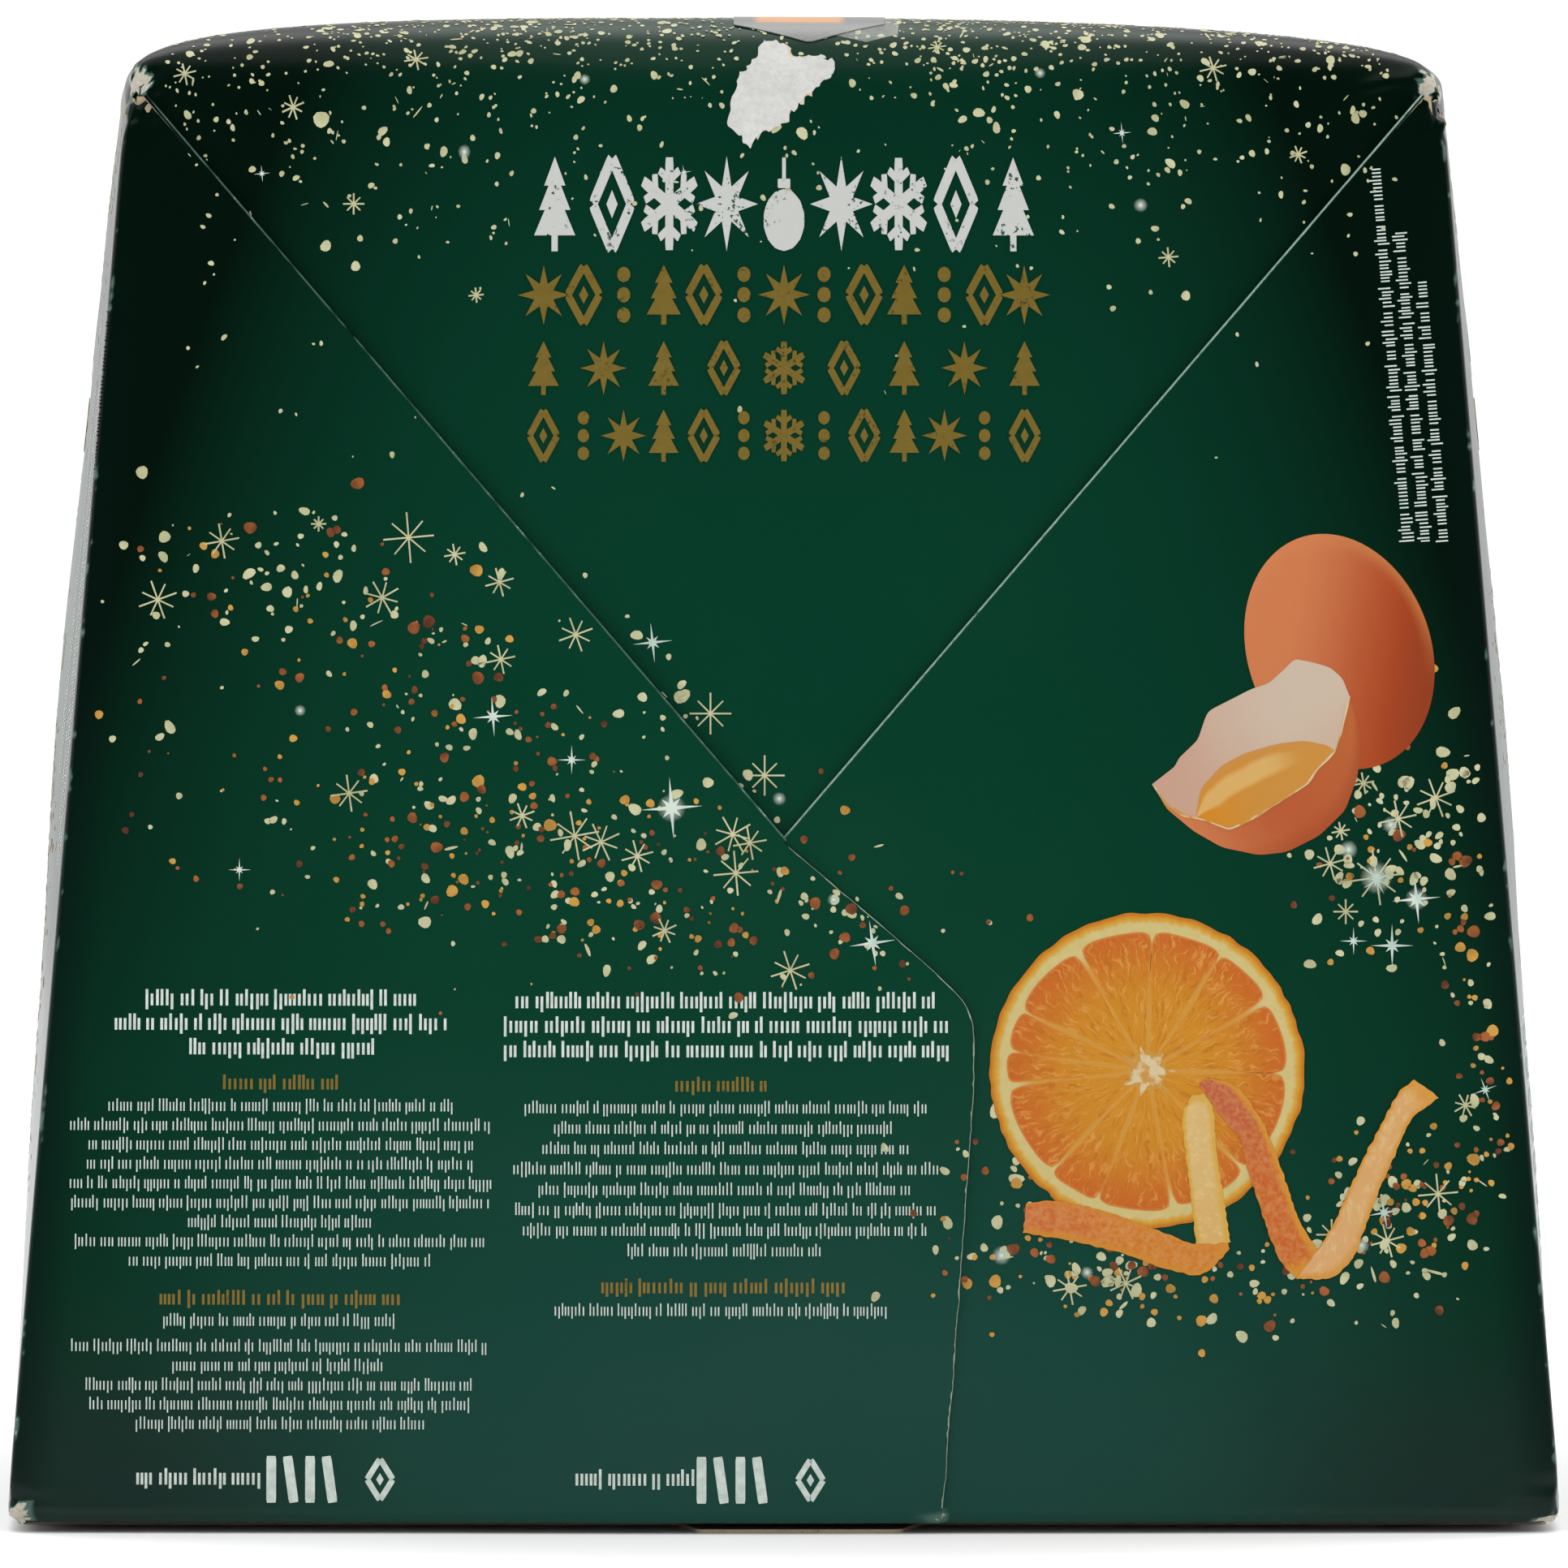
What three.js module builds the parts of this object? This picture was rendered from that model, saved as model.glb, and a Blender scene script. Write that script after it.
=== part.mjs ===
// A tapered folding carton of printed board that holds one bagged panettone.
// Millimetres, +Z up. The origin is the middle of the footprint, on the floor, and the front face,
// where the two flaps lap over each other, looks along -Y.
import * as THREE from 'three';

// Outline of the carton
const BASE_HALF = 100; // half the width of the footprint, crease to crease
const CORNER_HALF = 85.5; // half the width between the four top corners
const CORNER_Z = 187; // height of the four top corners
const CROWN = 9.6; // rise of the pillowed top above its corners
const SIDE_BELLY = 8.4; // how far the full side panels bow outward
const FACE_BELLY = 5; // how far the lapped faces bow outward

// Board
const BOARD = 0.5; // thickness of the folding board
const GAP = 0.3; // clearance between neighbouring sheets
const LAYER = BOARD + GAP; // step from one sheet to the sheet under it
const WALL_Z = 3 * LAYER; // the walls stand on three sheets of bottom flap

// Lapped faces
const APEX_Z = 89; // where the two folded diagonals meet
const LEAF_Z = 74; // lower edge of the leaf under the V
const WEB_Z = 82; // where the folded-under web meets the leaf's side edge
const LAP_SLANT = 1.2; // sideways run of the left flap's raw edge for each millimetre down
const LAP_X = 25.4; // the same raw edge where it turns straight down
const LAP_CORNER_Z = 67; // height of that corner
const LAP_ROUND = 4; // how round the corner is
const LAP_FOOT_X = 20.2; // and at the floor
const TUCK_X = 12; // how far the right flap reaches under the left one
const TUCK_DROP = 11; // height over which its hidden edge runs out to there

// Bottom flaps
const SIDE_FLAP_LENGTH = 58; // the short flaps, from the side panels
const INNER_FLAP_REACH = 160; // the long flap that lies inside
const OUTER_FLAP_MARGIN = 0.6; // the outer flap stops this far short of the creases
const TAB_LEFT = -11.2; // the tab on the outer flap's front edge
const TAB_RIGHT = 15.1;
const TAB_OUT = 0.9; // how far the tab stands out of that edge

// Seal label, over the front shoulder of the top
const LABEL_LEFT = -6.6;
const LABEL_RIGHT = 13;
const LABEL_FRONT = -83;
const LABEL_BACK = -48;
const LABEL_PAPER = 0.2;

// Contents
const LATHE_SIDES = 36;
const FLOOR_Z = WALL_Z + 0.1; // top of the carton's floor, with clearance
const FILM = 0.4; // the bag
const MOULD_RADIUS = 82; // paper baking mould, outside
const MOULD_HEIGHT = 110;
const MOULD_PAPER = 0.6;
const CAKE_TOP = 157; // crown of the cake above the floor
const CAKE_CROWN_RADIUS = 83.5; // where the crown overhangs the mould
const BAG_RADIUS = 86.4;
const NECK_RADIUS = 6;
const NECK_Z = 173;
const TIE_HEIGHT = 2.6;
const TIE_THICKNESS = 1.6;

const paint = (color, roughness, metalness = 0) =>
  new THREE.MeshStandardMaterial({ color, roughness, metalness });

const carton = new THREE.Group();

function add(name, geometry, material, turn = 0) {
  const mesh = new THREE.Mesh(geometry, material);
  mesh.name = name;
  mesh.rotation.z = turn;
  carton.add(mesh);
}

const smooth = (low, high, value) => THREE.MathUtils.smoothstep(value, low, high);

// Half the width of the straight-sided body at height z.
const halfWidth = (z) => BASE_HALF - (BASE_HALF - CORNER_HALF) * z / CORNER_Z;

// How far a wall bows out: a cosine across it, and a sine up it that ends above zero at both creases.
function bow(amount, across, z, footPhase, topPhase) {
  const phase = footPhase + (topPhase - footPhase) * z / CORNER_Z;
  const reach = Math.min(1, Math.abs(across) / halfWidth(z));
  return amount * Math.cos(reach * Math.PI / 2) * Math.sin(phase * Math.PI);
}

const sideBow = (y, z) => bow(SIDE_BELLY, y, z, 0.05, 0.87);
const faceBow = (x, z) => bow(FACE_BELLY, x, z, 0.06, 0.86);

// A sheet: a grid of points moved out by lift along its normals and thickened inward.
// point(across, up) gives the outer surface for both arguments from 0 to 1; across x up points out.
function sheet(point, columns, rows, thickness, lift = 0) {
  const step = 1e-3;
  const outer = [];
  const inner = [];
  for (let row = 0; row <= rows; row += 1) {
    for (let column = 0; column <= columns; column += 1) {
      const across = column / columns;
      const up = row / rows;
      const east = point(Math.min(1, across + step), up).sub(point(Math.max(0, across - step), up));
      const north = point(across, Math.min(1, up + step)).sub(point(across, Math.max(0, up - step)));
      const normal = east.cross(north).normalize();
      const middle = point(across, up);
      outer.push(middle.clone().addScaledVector(normal, lift));
      inner.push(middle.clone().addScaledVector(normal, lift - thickness));
    }
  }
  const width = columns + 1;
  const count = outer.length;
  const at = (column, row) => row * width + column;
  const faces = [];
  const quad = (a, b, c, d) => faces.push(a, b, c, a, c, d);
  for (let row = 0; row < rows; row += 1) {
    for (let column = 0; column < columns; column += 1) {
      const corners = [at(column, row), at(column + 1, row), at(column + 1, row + 1), at(column, row + 1)];
      quad(...corners);
      quad(...corners.reverse().map((corner) => corner + count));
    }
  }
  const rim = [];
  for (let column = 0; column < columns; column += 1) rim.push([at(column, 0), at(column + 1, 0)]);
  for (let row = 0; row < rows; row += 1) rim.push([at(columns, row), at(columns, row + 1)]);
  for (let column = columns; column > 0; column -= 1) rim.push([at(column, rows), at(column - 1, rows)]);
  for (let row = rows; row > 0; row -= 1) rim.push([at(0, row), at(0, row - 1)]);
  for (const [from, to] of rim) quad(to, from, from + count, to + count);
  const positions = [...outer, ...inner].flatMap((vertex) => vertex.toArray());
  const geometry = new THREE.BufferGeometry();
  geometry.setAttribute('position', new THREE.Float32BufferAttribute(positions, 3));
  geometry.setIndex(faces);
  return geometry;
}

// A point of a lapped face: depth is how far the sheet lies under the outermost one.
function facePoint(x, z, depth) {
  return new THREE.Vector3(x, depth - halfWidth(z) - faceBow(x, z), z);
}

// The edge of a face flap where it meets the side panel.
const flapEdge = (z) => halfWidth(z) - LAYER;

// The folded diagonal from the top corner down to the apex.
const diagonal = (z) => CORNER_HALF * (z - APEX_Z) / (CORNER_Z - APEX_Z);

const printed = paint(0x0b3a26, 0.38);
const rawBoard = paint(0xa08c68, 0.9);

// Side panels: full trapezoids, bowed out, from the floor flaps to the top corners.
function sidePanel(sign) {
  const point = (across, up) => {
    const z = THREE.MathUtils.lerp(WALL_Z, CORNER_Z - GAP, up);
    const y = sign * (2 * across - 1) * halfWidth(z);
    return new THREE.Vector3(sign * (halfWidth(z) + sideBow(y, z)), y, z);
  };
  return sheet(point, 12, 12, BOARD);
}
add('side_panel_left', sidePanel(-1), printed);
add('side_panel_right', sidePanel(1), printed);

// Top panel: a pillow whose two sections are super-ellipses, steep at the creases and flat inside.
const ACROSS_POWER = 3.2;
const ALONG_POWER = 6;

function topPoint(across, up) {
  const section = (share, power) => {
    const angle = Math.PI * (1 - share);
    const place = Math.sign(Math.cos(angle)) * Math.abs(Math.cos(angle)) ** (2 / power);
    return [place, Math.max(0, Math.sin(angle)) ** (2 / 3)];
  };
  const [u, riseAcross] = section(across, ACROSS_POWER);
  const [v, riseAlong] = section(up, ALONG_POWER);
  const x = u * (CORNER_HALF + sideBow(v * CORNER_HALF, CORNER_Z));
  const y = v * (CORNER_HALF - 2 * LAYER + faceBow(u * CORNER_HALF, CORNER_Z));
  return new THREE.Vector3(x, y, CORNER_Z + CROWN * riseAcross * riseAlong);
}
add('top_panel', sheet(topPoint, 16, 18, BOARD), printed);

// The leaf under the V, continuous with the top panel in the real blank.
function leaf() {
  const point = (across, up) => {
    const z = THREE.MathUtils.lerp(LEAF_Z, CORNER_Z - GAP, up);
    return facePoint((2 * across - 1) * (CORNER_HALF - LAYER), z, 2 * LAYER);
  };
  return sheet(point, 10, 8, BOARD);
}

// The raw edge of the left flap: one straight run down from the apex and one up from the floor, with
// the lesser of the two taken smoothly so that their corner is round.
function lapEdge(z) {
  const slant = LAP_SLANT * (APEX_Z - z);
  const upright = THREE.MathUtils.lerp(LAP_FOOT_X, LAP_X, z / LAP_CORNER_Z);
  return (slant + upright - Math.hypot(slant - upright, LAP_ROUND)) / 2;
}

// Left flap: it lifts over the right flap towards the lap.
function leftFlap() {
  const top = CORNER_Z - 1.5;
  const point = (across, up) => {
    const z = THREE.MathUtils.lerp(WALL_Z, top, up);
    const right = z > APEX_Z ? -diagonal(z) : lapEdge(z);
    const x = THREE.MathUtils.lerp(-flapEdge(z), right, across);
    return facePoint(x, z, -LAYER * smooth(-45, -TUCK_X - 2, x));
  };
  return sheet(point, 10, 17, BOARD);
}

// Right flap: it runs on under the left one to a hidden raw edge.
function rightFlap() {
  const top = CORNER_Z - 1.5;
  const point = (across, up) => {
    const z = THREE.MathUtils.lerp(WALL_Z, top, up);
    const hidden = -TUCK_X * Math.min(1, (APEX_Z - z) / TUCK_DROP);
    const left = z > APEX_Z ? diagonal(z) : hidden;
    return facePoint(THREE.MathUtils.lerp(left, flapEdge(z), across), z, 0);
  };
  return sheet(point, 10, 17, BOARD);
}

// Web: the triangle folded under a flap, from the top corner to the apex and the leaf's side edge.
function web(sign) {
  const inset = 0.8;
  const corner = new THREE.Vector2(CORNER_HALF - 1.6, CORNER_Z - 2.4);
  const apex = new THREE.Vector2(inset, APEX_Z - inset);
  const edge = new THREE.Vector2(CORNER_HALF - 1.6, WEB_Z);
  const point = (across, up) => {
    const reach = THREE.MathUtils.lerp(1, 0.01, up);
    const inner = corner.clone().lerp(apex, reach);
    const outer = corner.clone().lerp(edge, reach);
    const place = inner.lerp(outer, sign > 0 ? across : 1 - across);
    return facePoint(sign * place.x, place.y, LAYER);
  };
  return sheet(point, 7, 7, BOARD);
}

for (const [face, turn] of [['front', 0], ['rear', Math.PI]]) {
  add(`${face}_leaf`, leaf(), printed, turn);
  add(`${face}_left_flap`, leftFlap(), printed, turn);
  add(`${face}_right_flap`, rightFlap(), printed, turn);
  add(`${face}_left_web`, web(-1), rawBoard, turn);
  add(`${face}_right_web`, web(1), rawBoard, turn);
}

// Bottom flaps: flat outlines one sheet thick, each lying on the one below.
function plate(outline, z) {
  const shape = new THREE.Shape(outline.map(([x, y]) => new THREE.Vector2(x, y)));
  const geometry = new THREE.ExtrudeGeometry(shape, { depth: BOARD, bevelEnabled: false });
  geometry.translate(0, 0, z);
  return geometry;
}

const SHORT_HALF = BASE_HALF - 2; // half the width of a short flap at its crease
const creaseOut = BASE_HALF - OUTER_FLAP_MARGIN;
const shortEnd = creaseOut - SIDE_FLAP_LENGTH;
const shortOutline = [
  [shortEnd, -SHORT_HALF + 14],
  [creaseOut, -SHORT_HALF],
  [creaseOut, SHORT_HALF],
  [shortEnd, SHORT_HALF - 14],
];
add('bottom_flap_right', plate(shortOutline, 2 * LAYER), printed);
add('bottom_flap_left', plate(shortOutline, 2 * LAYER), printed, Math.PI);

const innerOutline = [
  [-SHORT_HALF, -creaseOut],
  [SHORT_HALF, -creaseOut],
  [SHORT_HALF - 8, INNER_FLAP_REACH - creaseOut],
  [8 - SHORT_HALF, INNER_FLAP_REACH - creaseOut],
];
add('bottom_flap_inner', plate(innerOutline, LAYER), printed);

const outerOutline = [
  [-creaseOut, -creaseOut],
  [TAB_LEFT, -creaseOut],
  [TAB_LEFT + 0.8, -creaseOut - TAB_OUT],
  [TAB_RIGHT - 0.8, -creaseOut - TAB_OUT],
  [TAB_RIGHT, -creaseOut],
  [creaseOut, -creaseOut],
  [creaseOut, creaseOut],
  [-creaseOut, creaseOut],
];
add('bottom_flap_outer', plate(outerOutline, 0), printed);

// Seal label: a thin patch that follows the pillow, just clear of it. shareAt turns a place across
// the top, in millimetres from its middle, into the argument that gives it.
function shareAt(place, power) {
  const reach = Math.abs(place) / CORNER_HALF;
  return 0.5 + Math.sign(place) * Math.asin(reach ** (power / 2)) / Math.PI;
}

function labelPoint(across, up) {
  const x = THREE.MathUtils.lerp(LABEL_LEFT, LABEL_RIGHT, across);
  const y = THREE.MathUtils.lerp(LABEL_FRONT, LABEL_BACK, up);
  return topPoint(shareAt(x, ACROSS_POWER), shareAt(y, ALONG_POWER));
}
add('seal_label', sheet(labelPoint, 3, 6, LABEL_PAPER, LABEL_PAPER + GAP), paint(0xcfc8d2, 0.35));

// A solid of revolution about +Z from an outline of [radius, height] pairs, wound anticlockwise.
function turned(outline) {
  const profile = outline.map(([radius, height]) => new THREE.Vector2(radius, height));
  return new THREE.LatheGeometry(profile, LATHE_SIDES).rotateX(Math.PI / 2);
}

// An open thin vessel: its outside as given, from the axis to the lip, and its inside set in by wall.
function vessel(outside, wall) {
  const inside = outside.map(([radius, height], index) => {
    const [lastRadius, lastHeight] = outside[Math.max(0, index - 1)];
    const [nextRadius, nextHeight] = outside[Math.min(outside.length - 1, index + 1)];
    const run = new THREE.Vector2(nextRadius - lastRadius, nextHeight - lastHeight).normalize();
    const inward = radius === 0 ? 0 : radius - wall * run.y;
    return [inward, height + wall * (radius === 0 ? 1 : run.x)];
  });
  return turned([...outside, ...inside.reverse()]);
}

// A quarter round from one height to another, from the wall radius in to the axis.
function dome(radius, low, high, steps) {
  const points = [];
  for (let step = 0; step < steps; step += 1) {
    const angle = step / steps * Math.PI / 2;
    points.push([radius * Math.cos(angle), low + (high - low) * Math.sin(angle)]);
  }
  return points;
}

// The cake: a straight drum in its mould, a crown that overhangs the rim, then a low dome.
const mouldFloor = FLOOR_Z + FILM + GAP;
const rim = mouldFloor + MOULD_HEIGHT;
const cakeFloor = mouldFloor + MOULD_PAPER + GAP;
const cakeRadius = MOULD_RADIUS - MOULD_PAPER - GAP;
const cake = [
  [0, cakeFloor],
  [cakeRadius - 3, cakeFloor],
  [cakeRadius, cakeFloor + 3],
  [cakeRadius, rim + 1],
  ...dome(CAKE_CROWN_RADIUS, rim + 8, CAKE_TOP, 7),
  [0, CAKE_TOP],
];
add('panettone', turned(cake), paint(0xa8652a, 0.8));

// The mould: an open paper cup.
const mould = [[0, mouldFloor], [MOULD_RADIUS, mouldFloor], [MOULD_RADIUS, rim]];
const mouldInside = [
  [MOULD_RADIUS - MOULD_PAPER, rim],
  [MOULD_RADIUS - MOULD_PAPER, mouldFloor + MOULD_PAPER],
  [0, mouldFloor + MOULD_PAPER],
];
add('paper_mould', turned([...mould, ...mouldInside]), paint(0x6b3f20, 0.85));

// The bag: film round the mould, drawn in over the cake to a tied neck with a short frill.
const bag = [
  [0, FLOOR_Z],
  [BAG_RADIUS - 4, FLOOR_Z],
  [BAG_RADIUS, FLOOR_Z + 4],
  ...dome(BAG_RADIUS, rim + 10, CAKE_TOP + 5, 6).map(([radius, z]) => [Math.max(radius, 20), z]),
  [NECK_RADIUS + 3, NECK_Z - 4],
  [NECK_RADIUS, NECK_Z],
  [NECK_RADIUS, NECK_Z + TIE_HEIGHT + 1],
  [NECK_RADIUS + 8, NECK_Z + 11],
];
add('inner_bag', vessel(bag, FILM), paint(0xdfe4e6, 0.15));

// The tie: a flat band round the neck.
const tieInside = NECK_RADIUS + GAP;
const tie = [
  [tieInside, NECK_Z + 0.5],
  [tieInside + TIE_THICKNESS, NECK_Z + 0.5],
  [tieInside + TIE_THICKNESS, NECK_Z + 0.5 + TIE_HEIGHT],
  [tieInside, NECK_Z + 0.5 + TIE_HEIGHT],
  [tieInside, NECK_Z + 0.5],
];
add('bag_tie', turned(tie), paint(0xb08a35, 0.4));

export default carton;
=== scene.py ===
"""A filled panettone carton: board walls folded to a V, a pillowed top, print, label and wear."""

import bpy
import numpy as np
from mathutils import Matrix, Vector


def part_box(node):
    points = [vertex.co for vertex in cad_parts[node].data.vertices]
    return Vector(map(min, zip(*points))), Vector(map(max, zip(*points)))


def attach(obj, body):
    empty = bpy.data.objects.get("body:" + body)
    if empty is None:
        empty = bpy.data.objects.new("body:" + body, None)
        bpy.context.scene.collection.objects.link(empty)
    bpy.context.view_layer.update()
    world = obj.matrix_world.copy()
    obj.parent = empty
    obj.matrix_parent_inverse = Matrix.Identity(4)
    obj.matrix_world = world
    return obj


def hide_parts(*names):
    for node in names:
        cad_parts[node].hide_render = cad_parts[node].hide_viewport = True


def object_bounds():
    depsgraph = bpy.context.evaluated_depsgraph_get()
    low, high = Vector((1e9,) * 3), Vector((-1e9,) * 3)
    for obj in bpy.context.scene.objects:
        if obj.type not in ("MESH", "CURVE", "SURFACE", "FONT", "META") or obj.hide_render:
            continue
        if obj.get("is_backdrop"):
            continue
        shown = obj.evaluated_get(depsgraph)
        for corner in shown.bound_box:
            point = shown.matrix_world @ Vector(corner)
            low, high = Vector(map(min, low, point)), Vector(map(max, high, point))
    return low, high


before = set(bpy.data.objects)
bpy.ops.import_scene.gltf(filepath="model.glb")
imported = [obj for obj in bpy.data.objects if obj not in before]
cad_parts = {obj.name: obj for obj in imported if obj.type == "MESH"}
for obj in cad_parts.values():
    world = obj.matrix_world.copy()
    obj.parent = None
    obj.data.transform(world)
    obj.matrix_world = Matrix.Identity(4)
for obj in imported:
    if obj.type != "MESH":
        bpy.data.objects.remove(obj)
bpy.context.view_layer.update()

# ------------------------------------------------------------------------------------------------
# Walls. Each is a full side panel with a face flap folded off both of its upright creases, cut
# from one blank of solid folding board: printed and varnished outside, raw inside and at its
# cut edges. Worked in millimetres; the mesh maker turns them to metres.
# ------------------------------------------------------------------------------------------------
MM = 0.001


def node_box(node):
    """A CAD node's lowest and highest corner, in millimetres."""
    low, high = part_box(node)
    return np.array(low) / MM, np.array(high) / MM


SHEET_STEP = 0.8  # the CAD's step from one sheet of board to the sheet under it
BASE_HALF = node_box("bottom_flap_outer")[1][0] + 0.95
CORNER_HALF = node_box("front_leaf")[1][0] + SHEET_STEP + 0.4
CORNER_Z = node_box("top_panel")[0][2]
CROWN_Z = node_box("top_panel")[1][2] + 0.8
LEAF_Z = node_box("front_leaf")[0][2]
APEX_Z = LEAF_Z + 15.0
LEFT_BELLY, RIGHT_BELLY = 7.8, 6.7
FACE_BELLY = 5.0
BOARD = 0.45
CREASE_RADIUS = 1.0
FOLD_INSET = 2.1  # how far short of the corner the folded diagonals end
FOLD_OVERRUN = 0.2  # how far a flap's board runs past its fold line, over the round of the fold
FOOT_Z = 1.3
FOOT_RADIUS = 1.5
FLAP_LIFT = 0.6
LAP_SLANT = 1.2
LAP_X, LAP_CORNER_Z, LAP_FOOT_X, LAP_ROUND = 25.4, 67.0, 20.2, 4.0
LIFT_FROM, LIFT_TO = -45.0, -14.0
TUCK_X, TUCK_DROP = 12.0, 11.0
RIPPLE_WAVES = 7
SIDE_SEED, FACE_SEED = 3, 11


def half_width(z):
    """Half the carton's width: it falls evenly from the footprint to the top corners."""
    return BASE_HALF - (BASE_HALF - CORNER_HALF) * z / CORNER_Z


def smooth(low, high, value):
    """The usual smooth step from 0 at low to 1 at high: 3 t squared less 2 t cubed."""
    t = np.clip((value - low) / (high - low), 0.0, 1.0)
    return t * t * (3.0 - 2.0 * t)


def ripple(a, b, c, wavelength, seed):
    """Smooth noise near -1 to 1: sine waves of about one wavelength in seeded directions, added."""
    rng = np.random.default_rng(seed)
    total = 0.0
    for _ in range(RIPPLE_WAVES):
        way = rng.normal(size=3)
        way *= rng.uniform(0.7, 1.5) / np.linalg.norm(way)
        turn = (a * way[0] + b * way[1] + c * way[2]) * 2.0 * np.pi / wavelength
        total = total + np.sin(turn + rng.uniform(0.0, 2.0 * np.pi))
    return total / np.sqrt(RIPPLE_WAVES)


def bow(amount, across, z, foot, top, full, seed):
    """How far a wall stands out: a cosine across by a power of a sine up, and a seeded waviness."""
    reach = np.clip(np.abs(across) / (half_width(z) - CREASE_RADIUS), 0.0, 1.0)
    climb = foot + (top - foot) * np.clip(z / CORNER_Z, 0.0, 1.08)
    belly = amount * np.sin(np.pi * climb) ** full
    waves = 0.22 * ripple(across, z, 0.0, 70.0, seed) + 0.05 * ripple(across, z, 0.0, 23.0, seed + 1)
    return (belly + waves) * np.cos(reach * np.pi / 2.0)


def side_bow(y, z, belly):
    return bow(belly, y, z, 0.087, 0.849, 0.60, SIDE_SEED)


def face_bow(x, z):
    return bow(FACE_BELLY, x, z, 0.06, 0.86, 0.78, FACE_SEED)


def fold_line(z):
    """The folded diagonal of a face flap: a straight run from the top corner to the apex."""
    return (CORNER_HALF - FOLD_INSET) * (z - APEX_Z) / (CORNER_Z - APEX_Z)


def lap_edge(z):
    """The left flap's cut edge: the smooth lesser of a slanting run and an upright one, torn a bit."""
    slant = LAP_SLANT * (APEX_Z - z)
    upright = LAP_FOOT_X + (LAP_X - LAP_FOOT_X) * z / LAP_CORNER_Z
    edge = (slant + upright - np.hypot(slant - upright, LAP_ROUND)) / 2.0
    fray = 0.05 * ripple(z, 0.0, 0.0, 4.1, 21) + 0.03 * ripple(z, 0.0, 0.0, 1.7, 22)
    return edge + fray * smooth(0.0, 4.0, APEX_Z - z)


def lap_lift(x):
    """How far the left flap, and the print and web on it, stand off the flap it laps over."""
    return FLAP_LIFT * smooth(LIFT_FROM, LIFT_TO, x)


def face_point(x, z, depth):
    """A point of a lapped face, depth under its outermost sheet."""
    return np.stack(np.broadcast_arrays(x, depth - half_width(z) - face_bow(x, z), z), -1)


def crush(points):
    """Knocked corners: points near one of the eight are drawn in and crumpled, fading with distance."""
    shifted = points.copy()
    for across in (-1, 1):
        for along in (-1, 1):
            for z, reach, depth in ((CORNER_Z + 0.5, 5.0, 1.3), (FOOT_Z + 1.0, 3.4, 0.8)):
                half = half_width(z)
                corner = np.array([across * half, along * half, z])
                away = np.linalg.norm(points - corner, axis=-1)
                near = np.exp(-((away / reach) ** 2))[..., None]
                inward = -corner / np.linalg.norm(corner)
                x, y, height = np.moveaxis(points, -1, 0)
                jolt = np.stack([ripple(x, y, height, 3.2, 40 + axis) for axis in range(3)], -1)
                shifted += near * (inward * depth + 0.42 * jolt)
    return shifted


def corner_wear(points):
    """How rubbed the print is at the knocked corners, from 0 to 1."""
    worn = 0.0
    x, y, z = np.moveaxis(points, -1, 0)
    spots = ((CORNER_Z + 2.9, 2.8, 0.95, 1.3), (FOOT_Z + 0.1, 3.3, 1.8, 0.0))
    for height, reach, flat, inset in spots:
        half = half_width(height)
        away = np.hypot(np.abs(x) - half, np.abs(y) - half + inset)
        away = np.hypot(away, (z - height) * flat)
        ragged = away + 0.7 * ripple(x, y, z, 2.2, 51) + 0.55 * ripple(x, y, z, 0.9, 52)
        worn = worn + 1.0 - smooth(reach * 0.55, reach * 0.9, ragged)
    return np.clip(worn, 0.0, 1.0)


def turned(points, half_turn):
    """The same points after half a turn about the upright axis, or as they are."""
    return points * np.array([-1.0, -1.0, 1.0]) if half_turn else points


def make_mesh(name, points, faces, materials, face_slots=None, marks=None):
    """A piece from points in millimetres, faces as lists of point numbers, and marks on its points."""
    mesh = bpy.data.meshes.new(name)
    mesh.from_pydata((points * MM).tolist(), [], faces)
    for material in materials:
        mesh.materials.append(material)
    if face_slots is not None:
        mesh.polygons.foreach_set("material_index", np.asarray(face_slots, np.int32))
    for mark, values in (marks or {}).items():
        layer = mesh.attributes.new(mark, "FLOAT", "POINT")
        layer.data.foreach_set("value", np.asarray(values, np.float32).ravel())
    mesh.polygons.foreach_set("use_smooth", np.ones(len(mesh.polygons), bool))
    mesh.set_sharp_from_angle(angle=np.radians(50.0))
    mesh.update()
    piece = bpy.data.objects.new(name, mesh)
    bpy.context.scene.collection.objects.link(piece)
    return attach(piece, "root")


def grid_normals(grid):
    """Outward normals of a grid of points: the way across its columns crossed with the way up."""
    along = np.gradient(grid, axis=1)
    up = np.gradient(grid, axis=0)
    normal = np.cross(along, up)
    return normal / np.maximum(np.linalg.norm(normal, axis=-1, keepdims=True), 1e-9)


def closed_faces(rows, columns):
    """Faces of two copies of a grid, back to back and joined round their rim, and how many are front."""
    number = np.arange(rows * columns).reshape(rows, columns)
    quads = np.stack([number[:-1, :-1], number[:-1, 1:], number[1:, 1:], number[1:, :-1]], -1)
    front = quads.reshape(-1, 4)
    rim = np.concatenate([number[0, :-1], number[:-1, -1], number[-1, :0:-1], number[:0:-1, 0]])
    after = np.roll(rim, -1)
    count = rows * columns
    edge = np.stack([after, rim, rim + count, after + count], -1)
    return np.concatenate([front, front[:, ::-1] + count, edge]), len(front)


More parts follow.
